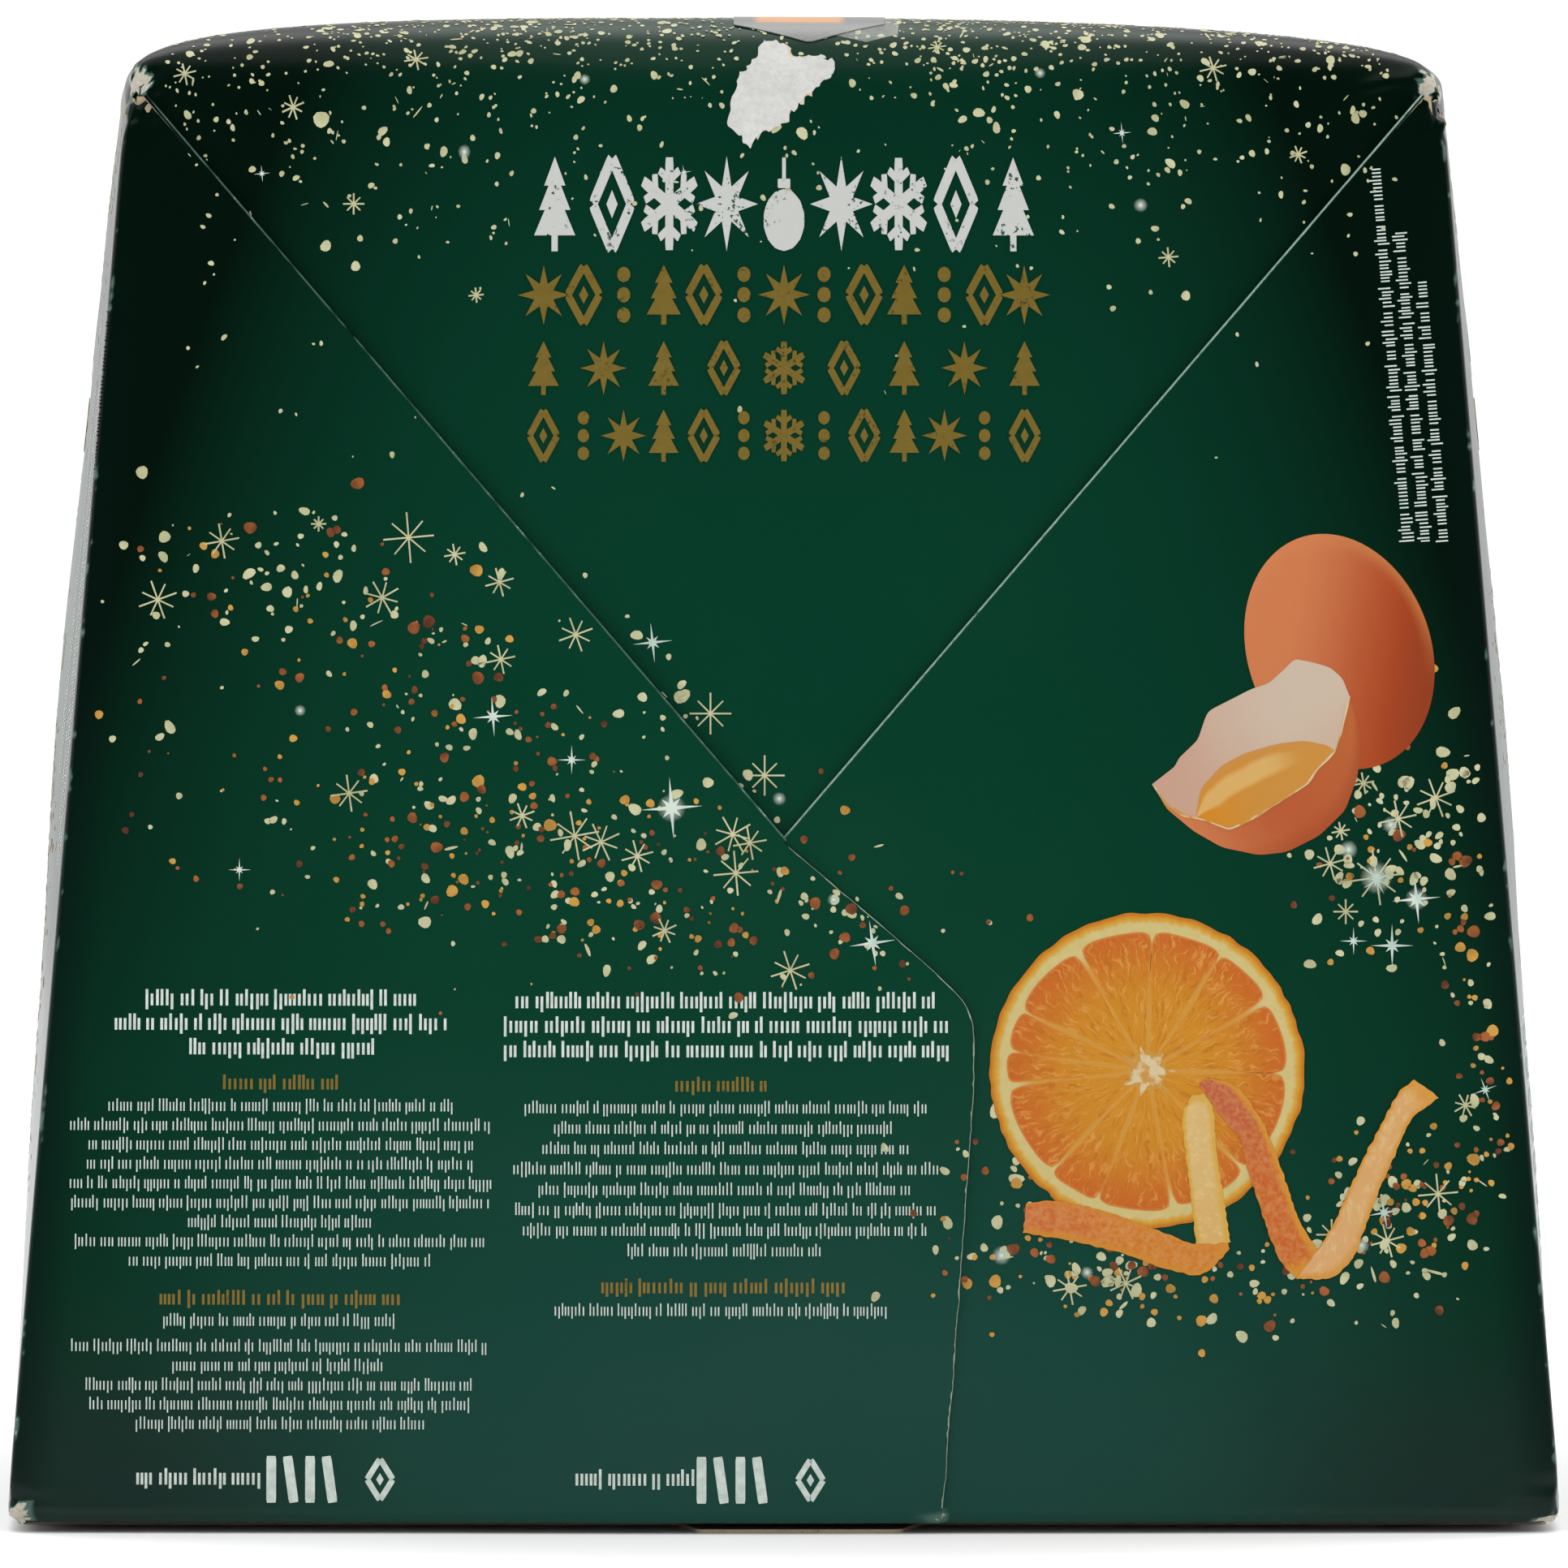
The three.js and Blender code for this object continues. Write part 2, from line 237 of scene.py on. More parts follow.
def sheet(name, grid, thickness, materials, wear=None):
    """A sheet of board: the grid is its printed face, and its raw back lies one thickness inside."""
    back = grid - thickness * grid_normals(grid)
    points = np.concatenate([grid.reshape(-1, 3), back.reshape(-1, 3)])
    faces, printed_faces = closed_faces(*grid.shape[:2])
    slots = (np.arange(len(faces)) >= printed_faces).astype(int)
    worn = np.zeros(grid.shape[:2]) if wear is None else wear
    marks = {"wear": np.concatenate([worn.ravel(), worn.ravel()])}
    return make_mesh(name, points, faces.tolist(), materials, slots, marks)


class Shade:
    """A shader value: arithmetic on it adds Math nodes, and node() adds any other kind."""

    def __init__(self, tree, socket=None):
        self.tree = tree
        self.socket = socket

    def node(self, kind, inputs=None, settings=None, output=0):
        """Adds a node: its settings first, then a value or a link for each socket named."""
        made = self.tree.nodes.new("ShaderNode" + kind)
        for name, value in (settings or {}).items():
            if name == "stops":
                ramp = made.color_ramp.elements
                while len(ramp) < len(value):
                    ramp.new(0.5)
                for stop, (place, colour) in zip(ramp, value):
                    stop.position = place
                    stop.color = (*colour, 1.0)
            else:
                setattr(made, name, value)
        for place, value in (inputs or {}).items():
            if isinstance(value, Shade):
                self.tree.links.new(value.socket, made.inputs[place])
            else:
                made.inputs[place].default_value = value
        return Shade(self.tree, made.outputs[output])

    def math(self, operation, *values):
        return self.node("Math", dict(enumerate(values)), {"operation": operation})

    def __add__(self, other):
        return self.math("ADD", self, other)

    __radd__ = __add__

    def __sub__(self, other):
        return self.math("SUBTRACT", self, other)

    def __rsub__(self, other):
        return self.math("SUBTRACT", other, self)

    def __mul__(self, other):
        return self.math("MULTIPLY", self, other)

    __rmul__ = __mul__

    def __truediv__(self, other):
        return self.math("DIVIDE", self, other)

    def __pow__(self, power):
        return self.math("POWER", self, power)

    def __abs__(self):
        return self.math("ABSOLUTE", self)

    def least(self, other):
        return self.math("MINIMUM", self, other)

    def most(self, other):
        return self.math("MAXIMUM", self, other)

    def between(self, low, high):
        """0 below low, 1 above high, and a smooth step from one to the other."""
        settings = {"interpolation_type": "SMOOTHSTEP"}
        return self.node("MapRange", {0: self, 1: low, 2: high, 3: 0.0, 4: 1.0}, settings)

    def mix(self, low, high):
        """This value as the share of the second colour mixed into the first."""
        return self.node("Mix", {0: self, 6: low, 7: high}, {"data_type": "RGBA"}, output=2)


def colour(red, green, blue):
    return (red, green, blue, 1.0)


def place(tree):
    """The point being shaded, in metres in the carton's own frame, and its x, y and z."""
    point = Shade(tree).node("TexCoord", output=3)
    axes = [point.node("SeparateXYZ", {0: point}, output=axis) for axis in range(3)]
    return point, axes


def noise(point, scale, detail=2.0, roughness=0.5):
    inputs = {"Vector": point, "Scale": scale, "Detail": detail, "Roughness": roughness}
    return point.node("TexNoise", inputs)


def new_material(name, paint):
    """A material whose Principled sockets are what paint(tree) gives, as values or links."""
    material = bpy.data.materials.new(name)
    material.use_nodes = True
    tree = material.node_tree
    shader = tree.nodes["Principled BSDF"]
    for socket, value in paint(tree).items():
        if isinstance(value, Shade):
            tree.links.new(value.socket, shader.inputs[socket])
        else:
            shader.inputs[socket].default_value = value
    return material


def bump(point, height, distance):
    return point.node("Bump", {"Height": height, "Distance": distance, "Strength": 1.0})


def raw_board(point):
    """The unprinted grey-tan side of recycled board: its colour, with fibres and flecks."""
    fibre = noise(point, 900.0, 4.0, 0.6)
    fleck = noise(point, 2600.0).between(0.66, 0.74)
    body = fibre.mix(colour(0.27, 0.205, 0.125), colour(0.44, 0.36, 0.245))
    return fleck.mix(body, colour(0.12, 0.085, 0.05))


def paint_raw(tree):
    point, _ = place(tree)
    relief = bump(point, noise(point, 1400.0, 3.0), 0.00005)
    return {"Base Color": raw_board(point), "Roughness": 0.92, "Normal": relief}


TONE_REACH = 94.0 / 85.0  # puts the full tone a little inside the upright creases
BARE_BOARD = (colour(0.20, 0.185, 0.15), colour(0.62, 0.58, 0.49))
STAINED_BOARD = (colour(0.10, 0.19, 0.16), colour(0.38, 0.54, 0.47))


def paint_print_and_shade(tree, bare=BARE_BOARD):
    """Deep green ink, darkest at the upper corners and creases by painted shade, paler at the foot by a
    painted floor reflection, and bare board at wear.
    """
    point, (x, y, z) = place(tree)
    half = BASE_HALF * MM - z * ((BASE_HALF - CORNER_HALF) / CORNER_Z)
    across = abs(x).least(abs(y)) / half * TONE_REACH
    rise = (z - 0.060) / 0.130
    climb = rise.node("Clamp", {0: rise})
    # Painted shade: the ink darkens towards the side creases and towards the top, where the bowed board
    # turns from the light.
    shadow = (across ** 3.5) * (climb + 0.50) * 0.68 + (climb ** 3.0) * 0.39
    glow = (1.0 - shadow).most(0.15)
    # Painted reflection: a paler, bluer green low on the wall and away from the creases, standing in for
    # the pale floor seen in the board's shine.
    foot = (1.0 - z.between(0.012, 0.075)) * (1.0 - (across ** 3.0).least(1.0))
    fine = noise(point, 5200.0, 2.0)
    broad = noise(point, 38.0, 3.0)
    tone = glow * (0.90 + fine * 0.20) * (0.94 + broad * 0.12)
    green = foot.mix(colour(0.0003, 0.0370, 0.0180), colour(0.0035, 0.0450, 0.0325))
    ink = tone.node("Mix", {0: tone, 6: colour(0.0, 0.0, 0.0), 7: green},
                    {"data_type": "RGBA", "clamp_factor": False}, output=2)
    # Painted sheen: a greyish haze over the ink low on the wall, towards the creases.
    foot_haze = (1.0 - z.between(0.004, 0.034)) * across.between(0.5, 0.95) * 0.7
    ink = foot_haze.mix(ink, colour(0.0095, 0.0200, 0.0180))
    # Painted shade: near black right at the upright creases, fading out towards the top.
    rim = across.between(1.03, 1.10) * (1.0 - climb) * 0.6
    ink = rim.mix(ink, colour(0.0010, 0.0060, 0.0045))
    worn = point.node("Attribute", settings={"attribute_name": "wear"}, output=2)
    chips = noise(point, 1500.0, 3.0, 0.6)
    rub = (worn + (chips - 0.5) * 0.9).between(0.42, 0.58) * worn.between(0.04, 0.2)
    fibres = noise(point, 2200.0, 4.0, 0.65)
    core = fibres.mix(*bare)
    # Painted highlight where the wear mark is light: the ink pales to teal. On the folded diagonals this
    # stands for the glint along each fold; elsewhere it is ink thinned by wear.
    thin = worn.between(0.06, 0.34) * 0.5
    ink = thin.mix(ink, colour(0.110, 0.205, 0.170))
    relief = bump(point, fine * 0.15 + fibres * rub * 2.0, 0.00003)
    rough = 0.21 + broad * 0.05 + rub * 0.55
    return {"Base Color": rub.mix(ink, core), "Roughness": rough, "Normal": relief,
            "Specular IOR Level": 0.13}


def paint_fold(tree):
    """The same print and painted shade, with the board still stained by the ink where a fold has cracked
    it.
    """
    return paint_print_and_shade(tree, STAINED_BOARD)


# The green board materials carry painted shade, painted reflections and a painted highlight as well as
# their print.
printed = new_material("printed_board", paint_print_and_shade)
printed_shaded_fold = new_material("printed_shaded_fold", paint_fold)
raw = new_material("raw_board", paint_raw)

WALL_ROWS, FOOT_ROWS = 236, 6
FLAP_COLUMNS, ARC_COLUMNS, SIDE_COLUMNS = 44, 5, 56


def crease(angles, centre_x, centre_y):
    """An upright crease: part of a circle of the crease radius about a centre that follows z."""
    x = centre_x + CREASE_RADIUS * np.cos(angles)
    y = centre_y + CREASE_RADIUS * np.sin(angles)
    return x, y


def wall_grid(belly):
    """The left wall: rear flap, crease, side, crease, front flap, with one section for each height."""
    turn = np.linspace(0.0, np.pi / 2.0, FOOT_ROWS, endpoint=False)
    lift_off = FOOT_Z + FOOT_RADIUS
    foot = FOOT_Z + FOOT_RADIUS * (1.0 - np.cos(turn))
    z = np.concatenate([foot, np.linspace(lift_off, CORNER_Z, WALL_ROWS)])[:, None]
    inset = np.concatenate([FOOT_RADIUS * (1.0 - np.sin(turn)), np.zeros(WALL_ROWS)])[:, None]
    half = half_width(z)
    inner = half - CREASE_RADIUS
    share = np.linspace(0.0, 1.0, FLAP_COLUMNS)[None, :]

    hidden = -TUCK_X * np.clip((APEX_Z - z) / TUCK_DROP, 0.0, 1.0)
    rear_edge = np.where(z > APEX_Z, fold_line(z) - FOLD_OVERRUN, hidden)
    rear_x = rear_edge + (inner - rear_edge) * share
    rear = turned(face_point(rear_x, z, 0.0), True)

    front_edge = np.where(z > APEX_Z, FOLD_OVERRUN - fold_line(z), lap_edge(z))
    front_x = -inner + (front_edge + inner) * share
    front = face_point(front_x, z, -lap_lift(front_x))

    side_y = inner * np.linspace(1.0, -1.0, SIDE_COLUMNS)[None, :]
    side = np.stack(np.broadcast_arrays(-half - side_bow(side_y, z, belly), side_y, z), -1)

    def corner(first, last, along):
        angles = np.linspace(first, last, ARC_COLUMNS + 2)[None, 1:-1]
        x, y = crease(angles, -inner, along * inner)
        return np.stack(np.broadcast_arrays(x, y, z), -1)

    rear_corner = corner(np.pi / 2.0, np.pi, 1.0)
    front_corner = corner(np.pi, np.pi * 1.5, -1.0)
    grid = np.concatenate([rear, rear_corner, side, front_corner, front], 1)
    shrink = (1.0 - inset / BASE_HALF)[..., None]
    return grid * np.concatenate([shrink, shrink, np.ones_like(shrink)], -1)


def wall_wear(grid):
    """Rubbed corners, faint crackle along the upright creases, and the lap's tattered foot."""
    x, y, z = np.moveaxis(grid, -1, 0)
    half = half_width(z)
    upright = np.hypot(np.abs(x) - half, np.abs(y) - half)
    crackle = 0.5 * ripple(x, y, z, 9.0, 61) + 0.5 * ripple(x, y, z, 2.3, 62)
    rubbed = (1.0 - smooth(0.3, 1.0, upright)) * smooth(0.2, 0.9, crackle) * 0.42
    tatter = ((np.sign(-y) * x - LAP_FOOT_X + 1.1) / 1.15) ** 2 + ((z - FOOT_Z - 0.8) / 0.8) ** 2
    return np.maximum(np.maximum(corner_wear(grid), rubbed), np.clip(1.15 * np.exp(-tatter), 0.0, 1.0))


for side, belly, half_turn in (("left", LEFT_BELLY, False), ("right", RIGHT_BELLY, True)):
    grid = turned(wall_grid(belly), half_turn)
    wall = sheet(f"{side}_wall", crush(grid), BOARD, [printed, raw], wall_wear(grid))
    opposite = "right" if side == "left" else "left"
    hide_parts(f"side_panel_{side}", f"front_{side}_flap", f"rear_{opposite}_flap")

# ------------------------------------------------------------------------------------------------
# Top sheet. The top panel and the two leaves under the V's, one strip of the blank: it comes up
# from behind the flaps, rolls over a soft uncreased shoulder and bellies up over the cake.
# ------------------------------------------------------------------------------------------------
LEAF_DEPTH = 1.3
ROLL_UP, ROLL_BACK = 20.0, 13.0
LEFT_POWER, RIGHT_POWER = 4.0, 2.0
DOME = 0.3
RIDGE_X, RIDGE_Z, RIDGE_LONG, RIDGE_WIDE, RIDGE_OUT = 77.5, 187.9, 4.2, 0.9, 0.45


def swell(u):
    """Rise across the top, 0 at its side creases and 1 inside: a super-ellipse, softer on the right."""
    power = np.where(u < 0.0, LEFT_POWER, RIGHT_POWER)
    return (1.0 - np.clip(np.abs(u), 0.0, 1.0) ** power) ** (1.0 / 3.0)


def shoulder(u):
    """For each place across: where the roll starts and how far it goes up and back."""
    rise = swell(u)
    up = 1.6 + (ROLL_UP - 1.6) * rise**2
    back = 1.6 + (ROLL_BACK - 1.6) * rise**2
    start = CORNER_Z + (CROWN_Z - CORNER_Z) * rise - up
    return start, up, back


def top_half(u, stage):
    """Front half of the top sheet: stage 0 to 1 climbs the leaf, 1 to 2 rolls, 2 to 3 runs in."""
    start, up, back = shoulder(u)
    x = u * CORNER_HALF
    climb = np.clip(stage, 0.0, 1.0)
    roll = np.clip(stage - 1.0, 0.0, 1.0) * np.pi / 2.0
    inward = np.clip(stage - 2.0, 0.0, 1.0)
    leaf_z = LEAF_Z + (start - LEAF_Z) * climb
    leaf_y = face_point(x, leaf_z, LEAF_DEPTH)[..., 1]
    lean = (leaf_y - face_point(x, leaf_z - 0.5, LEAF_DEPTH)[..., 1]) / 0.5
    y = leaf_y + back * (1.0 - np.cos(roll)) + lean * up * np.sin(roll)
    z = leaf_z + up * np.sin(roll)
    z = z + DOME * swell(u) * (1.0 - (1.0 - inward) ** 2)
    lean_in = (x - RIDGE_X) / RIDGE_LONG
    y = y - RIDGE_OUT * np.exp(-(lean_in**2) - ((z - RIDGE_Z - 0.28 * (x - RIDGE_X)) / RIDGE_WIDE) ** 2)
    y = y * (1.0 - inward)
    belly = np.where(u < 0.0, LEFT_BELLY, RIGHT_BELLY)
    spread = CORNER_HALF + side_bow(y, CORNER_Z, belly) * smooth(0.0, 1.0, stage - 1.0)
    return np.stack(np.broadcast_arrays(u * spread, y, z), -1)


def top_grid():
    """Columns crowd to the side creases; rows run up the front leaf, over, and down the rear one."""
    angle = np.linspace(np.pi, 0.0, 97)
    power = np.where(np.cos(angle) < 0.0, LEFT_POWER, RIGHT_POWER)
    u = (np.sign(np.cos(angle)) * np.abs(np.cos(angle)) ** (2.0 / power))[None, :]
    stage = np.concatenate([np.linspace(0, 1, 60, endpoint=False),
                            np.linspace(1, 2, 20, endpoint=False),
                            np.linspace(2, 3, 40)])[:, None]
    front = top_half(*np.broadcast_arrays(u, stage))
    rear = (front * np.array([1.0, -1.0, 1.0]))[-2::-1]
    return np.concatenate([front, rear])


grid = top_grid()
top_sheet = sheet("top_sheet", crush(grid), BOARD, [printed, raw], corner_wear(grid))
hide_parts("top_panel", "front_leaf", "rear_leaf")

# ------------------------------------------------------------------------------------------------
# Folded webs. Along each diagonal the flap's board turns under itself and runs back between flap
# and leaf as a hidden triangle. The fold is round, its print is cracked in places, and where the
# ink holds a painted teal highlight runs along it.
# ------------------------------------------------------------------------------------------------
FOLD_RADIUS = 0.5


def web_grid(mirror):
    """A half circle carried down the diagonal, then a flat run back to the upright crease."""
    along = np.linspace(0.0, 1.0, 260)[:, None]
    z = CORNER_Z - 0.4 - (CORNER_Z - 0.4 - APEX_Z) * along
    x = -fold_line(z)
    run = np.array([CORNER_HALF - FOLD_INSET, CORNER_Z - APEX_Z])
    out = np.array([run[1], run[0]]) / np.linalg.norm(run)
    angle = np.linspace(0.0, np.pi, 9)[None, :]
    push = FOLD_RADIUS * np.sin(angle)
    depth = FOLD_RADIUS * (1.0 - np.cos(angle))
    arc = np.stack(np.broadcast_arrays(x + push * out[0], depth, z + push * out[1]), -1)
    back_share = np.linspace(0.0, 1.0, 12)[None, 1:]
    edge = -half_width(z) + 1.6
    flat_x = x + np.minimum(edge - x, 0.0) * back_share
    flat = np.stack(np.broadcast_arrays(flat_x, 2.0 * FOLD_RADIUS, z), -1)
    plan = np.concatenate([arc, flat], 1)
    x, depth, z = np.moveaxis(plan, -1, 0)
    points = face_point(x, z, depth - lap_lift(x))
    if mirror:
        points[..., 1] = face_point(-x, z, depth)[..., 1]
        points[..., 0] *= -1.0
        points = points[:, ::-1]
    return points[::-1]


def fold_cracks_and_glint(grid, mirror, amount, rise, seed):
    """Cracks, and a painted highlight where the mark is low, along the crown of the fold only: strong
    where two seeded ripples agree.
    """
    x, y, z = np.moveaxis(grid, -1, 0)
    crown = np.zeros(grid.shape[1])
    crown[:9] = smooth(0.25, 0.75, np.sin(np.linspace(0.0, np.pi, 9)))
    crown = crown[::-1] if mirror else crown
    crackle = ripple(x, y, z, 14.0, seed) * 0.5 + ripple(x, y, z, 3.0, seed + 1) * 0.5
    amount = amount + rise * smooth(120.0, CORNER_Z, z)
    return np.clip(amount + 0.17 * crackle, 0.0, 1.0) * crown


for face, half_turn in (("front", False), ("rear", True)):
    # The left fold's low mark mostly paints a pale teal highlight; the right fold's high mark mostly
    # cracks the ink to bare board.
    for side, amount, rise, seed in (("left", 0.34, -0.08, 71), ("right", 0.68, 0.10, 75)):
        grid = turned(web_grid(side == "right"), half_turn)
        web = sheet(f"{face}_{side}_fold", grid, BOARD * 0.9, [printed_shaded_fold, raw],
                    fold_cracks_and_glint(grid, side == "right", amount, rise, seed))
        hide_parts(f"{face}_{side}_web")

# ------------------------------------------------------------------------------------------------
# Bottom flaps. Two short flaps, an inner long one and an outer long one close the base. The outer
# one's tab stands out at the front, and its raw tan edge shows under the crease.
# ------------------------------------------------------------------------------------------------


def plate(name, outline, low, high, materials):
    """A flat flap: its outline raised from low to high, print below, raw board above and round it."""
    count = len(outline)
    lower = np.column_stack([outline, np.full(count, low)])
    upper = np.column_stack([outline, np.full(count, high)])
    number = np.arange(count)
    after = np.roll(number, -1)
    edge = np.stack([number, after, after + count, number + count], -1).tolist()
    faces = [number[::-1].tolist(), (number + count).tolist(), *edge]
    slots = [0] + [1] * (count + 1)
    marks = {"wear": np.zeros(2 * count)}
    return make_mesh(name, np.concatenate([lower, upper]), faces, materials, slots, marks)


CORNER_STEPS = 5


def rounded(outline, radius):
    """The outline with each corner replaced by a curve that leaves and meets its sides smoothly."""
    before = np.roll(outline, 1, 0) - outline
    after = np.roll(outline, -1, 0) - outline
    reach_in = np.minimum(radius, 0.45 * np.linalg.norm(before, axis=1))[:, None]
    reach_out = np.minimum(radius, 0.45 * np.linalg.norm(after, axis=1))[:, None]
    start = outline + before / np.linalg.norm(before, axis=1)[:, None] * reach_in
    end = outline + after / np.linalg.norm(after, axis=1)[:, None] * reach_out
    t = np.linspace(0.0, 1.0, CORNER_STEPS)[None, :, None]
    curve = (1 - t) ** 2 * start[:, None] + 2 * t * (1 - t) * outline[:, None] + t**2 * end[:, None]
    return curve.reshape(-1, 2)


for side, sign in (("left", -1.0), ("right", 1.0)):
    low, high = node_box(f"bottom_flap_{side}")
    outer_x, inner_x = (low[0], high[0]) if sign < 0 else (high[0], low[0])
    corners = np.array([[inner_x, -80.0], [outer_x, -89.0], [outer_x, 89.0], [inner_x, 80.0]])
    outline = rounded(corners if sign > 0 else corners[::-1], 5.0)
    flap = plate(f"{side}_short_flap", outline, low[2], high[2], [printed, raw])
    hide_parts(f"bottom_flap_{side}")

low, high = node_box("bottom_flap_inner")
corners = np.array([
    [low[0], low[1] + 9], [high[0], low[1] + 9],
    [high[0] - 8, high[1]], [low[0] + 8, high[1]],
])
inner_flap = plate("inner_flap", rounded(corners, 4.0), low[2], high[2], [printed, raw])
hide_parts("bottom_flap_inner")

low, high = node_box("bottom_flap_outer")
TAB_LEFT, TAB_RIGHT, TAB_LONG, TAB_SPLAY = -11.2, 15.1, 14.0, 3.0
tab_root = low[1] + TAB_LONG
corners = np.array([
    [low[0], tab_root], [TAB_LEFT - TAB_SPLAY, tab_root], [TAB_LEFT, low[1]],
    [TAB_RIGHT, low[1]], [TAB_RIGHT + TAB_SPLAY, tab_root], [high[0], tab_root],
    [high[0], high[1]], [low[0], high[1]],
])
outer_flap = plate("outer_flap", rounded(corners, 1.4), low[2], high[2], [printed, raw])
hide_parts("bottom_flap_outer")

# ------------------------------------------------------------------------------------------------
# Seal label. A strip of satin paper stuck over the front shoulder, its lower end cut to a shallow
# V, with what is left of a clear tape beside it.
# ------------------------------------------------------------------------------------------------


def paint_label(tree):
    point, (x, y, _) = place(tree)
    fibre = noise(point, 1500.0, 3.0)
    body = fibre.mix(colour(0.115, 0.12, 0.115), colour(0.17, 0.172, 0.165))
    band = (1.0 - abs(x - 0.002).between(0.0050, 0.0064)) * y.between(-0.0774, -0.0759) * 0.8
    return {"Base Color": band.mix(body, colour(0.62, 0.27, 0.07)), "Roughness": 0.28,
            "Normal": bump(point, fibre, 0.00002)}


def over_shoulder(x, run):
    """Places on the top sheet: x across, and run in millimetres from where the roll starts."""
    u = x / CORNER_HALF
    start, up, back = shoulder(u)
    arc = (up + back) / 2.0 * np.pi / 2.0
    stage = 1.0 + np.where(run < 0.0, run / (start - LEAF_Z), run / arc)
    beyond = np.clip(run - arc, 0.0, None)
    depth = -top_half(u, np.full_like(u, 2.0))[..., 1]
    stage = np.where(run > arc, 2.0 + beyond / depth, stage)
    return top_half(u, stage)


def lifted_grid(skin, a, b, lift):
    """Points of a skin moved out along its normals, which come from its slopes each way."""
    step = 0.05
    along = skin(a + step, b) - skin(a - step, b)
    up = skin(a, b + step) - skin(a, b - step)
    normal = np.cross(along, up)
    normal /= np.linalg.norm(normal, axis=-1, keepdims=True)
    return skin(a, b) + np.asarray(lift)[..., None] * normal


def strip_grid(left, right, front, back, dip, lift):
    """A strip laid over the shoulder, its front edge dipping by dip in the middle."""
    share = np.linspace(0.0, 1.0, 22)[None, :]
    x = left + (right - left) * share
    edge = front - dip * (1.0 - np.abs(2.0 * share - 1.0))
    run = edge + (back - edge) * np.linspace(0.0, 1.0, 40)[:, None]
    return lifted_grid(over_shoulder, *np.broadcast_arrays(x, run), np.full_like(run, lift))


label_paper = new_material("label_paper", paint_label)
label_low, label_high = node_box("seal_label")
LABEL_FRONT, LABEL_BACK, LABEL_DIP, LABEL_THICK, LABEL_LIFT = 19.8, 46.0, 4.4, 0.14, 0.18
label_left, label_right = label_low[0] + 0.2, label_high[0] - 0.2
label_grid = strip_grid(label_left, label_right, LABEL_FRONT, LABEL_BACK, LABEL_DIP, LABEL_LIFT)
seal_label = sheet("seal_label_strip", label_grid, LABEL_THICK, [label_paper, label_paper])
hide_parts("seal_label")


def paint_tape(tree):
    point, _ = place(tree)
    cloud = noise(point, 500.0, 3.0)
    return {"Base Color": colour(0.62, 0.64, 0.60), "Roughness": 0.16, "Alpha": 0.05 + cloud * 0.22,
            "Specular IOR Level": 0.4}


clear_tape = new_material("clear_tape", paint_tape)
TAPE_LEFT, TAPE_RIGHT, TAPE_FRONT, TAPE_BACK, TAPE_DIP = 6.6, 14.9, 17.0, 44.0, 1.6
TAPE_THICK, TAPE_LIFT = 0.05, 0.09
tape_grid = strip_grid(TAPE_LEFT, TAPE_RIGHT, TAPE_FRONT, TAPE_BACK, TAPE_DIP, TAPE_LIFT)
tape = sheet("tape_scrap", tape_grid, TAPE_THICK, [clear_tape, clear_tape])

# ------------------------------------------------------------------------------------------------
# Sparkle print. Loose cream and gold flecks, dark brown flecks that are the gold foil painted as
# if in shade, thin stars and soft twinkles, printed on the lapped faces: a snowfall over the
# shoulder, a drift across the left flap, clusters on the right.
# ------------------------------------------------------------------------------------------------
LEAF, LEFT, RIGHT, REAR_LEAF = 0, 1, 2, 3
INK = 0.03
INK_SHINE = 0.3
FLECK_STRETCH = {"cream": 1.26, "gold": 1.05, "shaded_gold": 1.05}
FLECK_LIFT, FLECK_STEP, STAR_LIFT = 0.050, 0.004, 0.072
EDGE_MARGIN, CORNER_MARGIN = 1.6, 5.0  # how far flecks keep from the creases and the top corners
RAY_HALF = 0.11  # half the width of a star's ray at its tip


def zone_at(x, z):
    """Which sheet of a lapped face shows at a place: the leaf, the left flap or the right flap."""
    in_leaf = (z > APEX_Z) & (np.abs(x) < fold_line(z))
    on_left = np.where(z > APEX_Z, x < 0.0, x < lap_edge(z))
    return np.where(in_leaf, LEAF, np.where(on_left, LEFT, RIGHT))


def face_skin(x, z, zone):
    """The shown surface of a lapped face. Above the roll's start, z is measured along the sheet."""
    leaf = over_shoulder(x, z - shoulder(x / CORNER_HALF)[0])
    rear_leaf = over_shoulder(-x, z - shoulder(-x / CORNER_HALF)[0]) * (-1.0, 1.0, 1.0)
    left = face_point(x, z, -lap_lift(x))
    right = face_point(x, z, np.zeros_like(x))
    choice = np.broadcast_to(zone, x.shape)[..., None]
    leaf = np.where(choice == REAR_LEAF, rear_leaf, leaf)
    return np.where(choice % REAR_LEAF == LEAF, leaf, np.where(choice == LEFT, left, right))


def side_skin(belly):
    """A full side panel seen from outside: across runs from its rear crease to its front one."""
    def skin(across, z, _):
        out = half_width(z) + side_bow(-across, z, belly)
        return np.stack(np.broadcast_arrays(-out, -across, z), -1)
    return skin


def on_skin(skin, a, b, zone, lift, half_turn=False):
    """Places on a skin, lifted. Print on the rear leaf follows that leaf, the front's mirror image."""
    if half_turn:
        zone = np.where(np.asarray(zone) == LEAF, REAR_LEAF, zone)
    return lifted_grid(lambda p, q: skin(p, q, zone), a, b, np.broadcast_to(lift, a.shape))


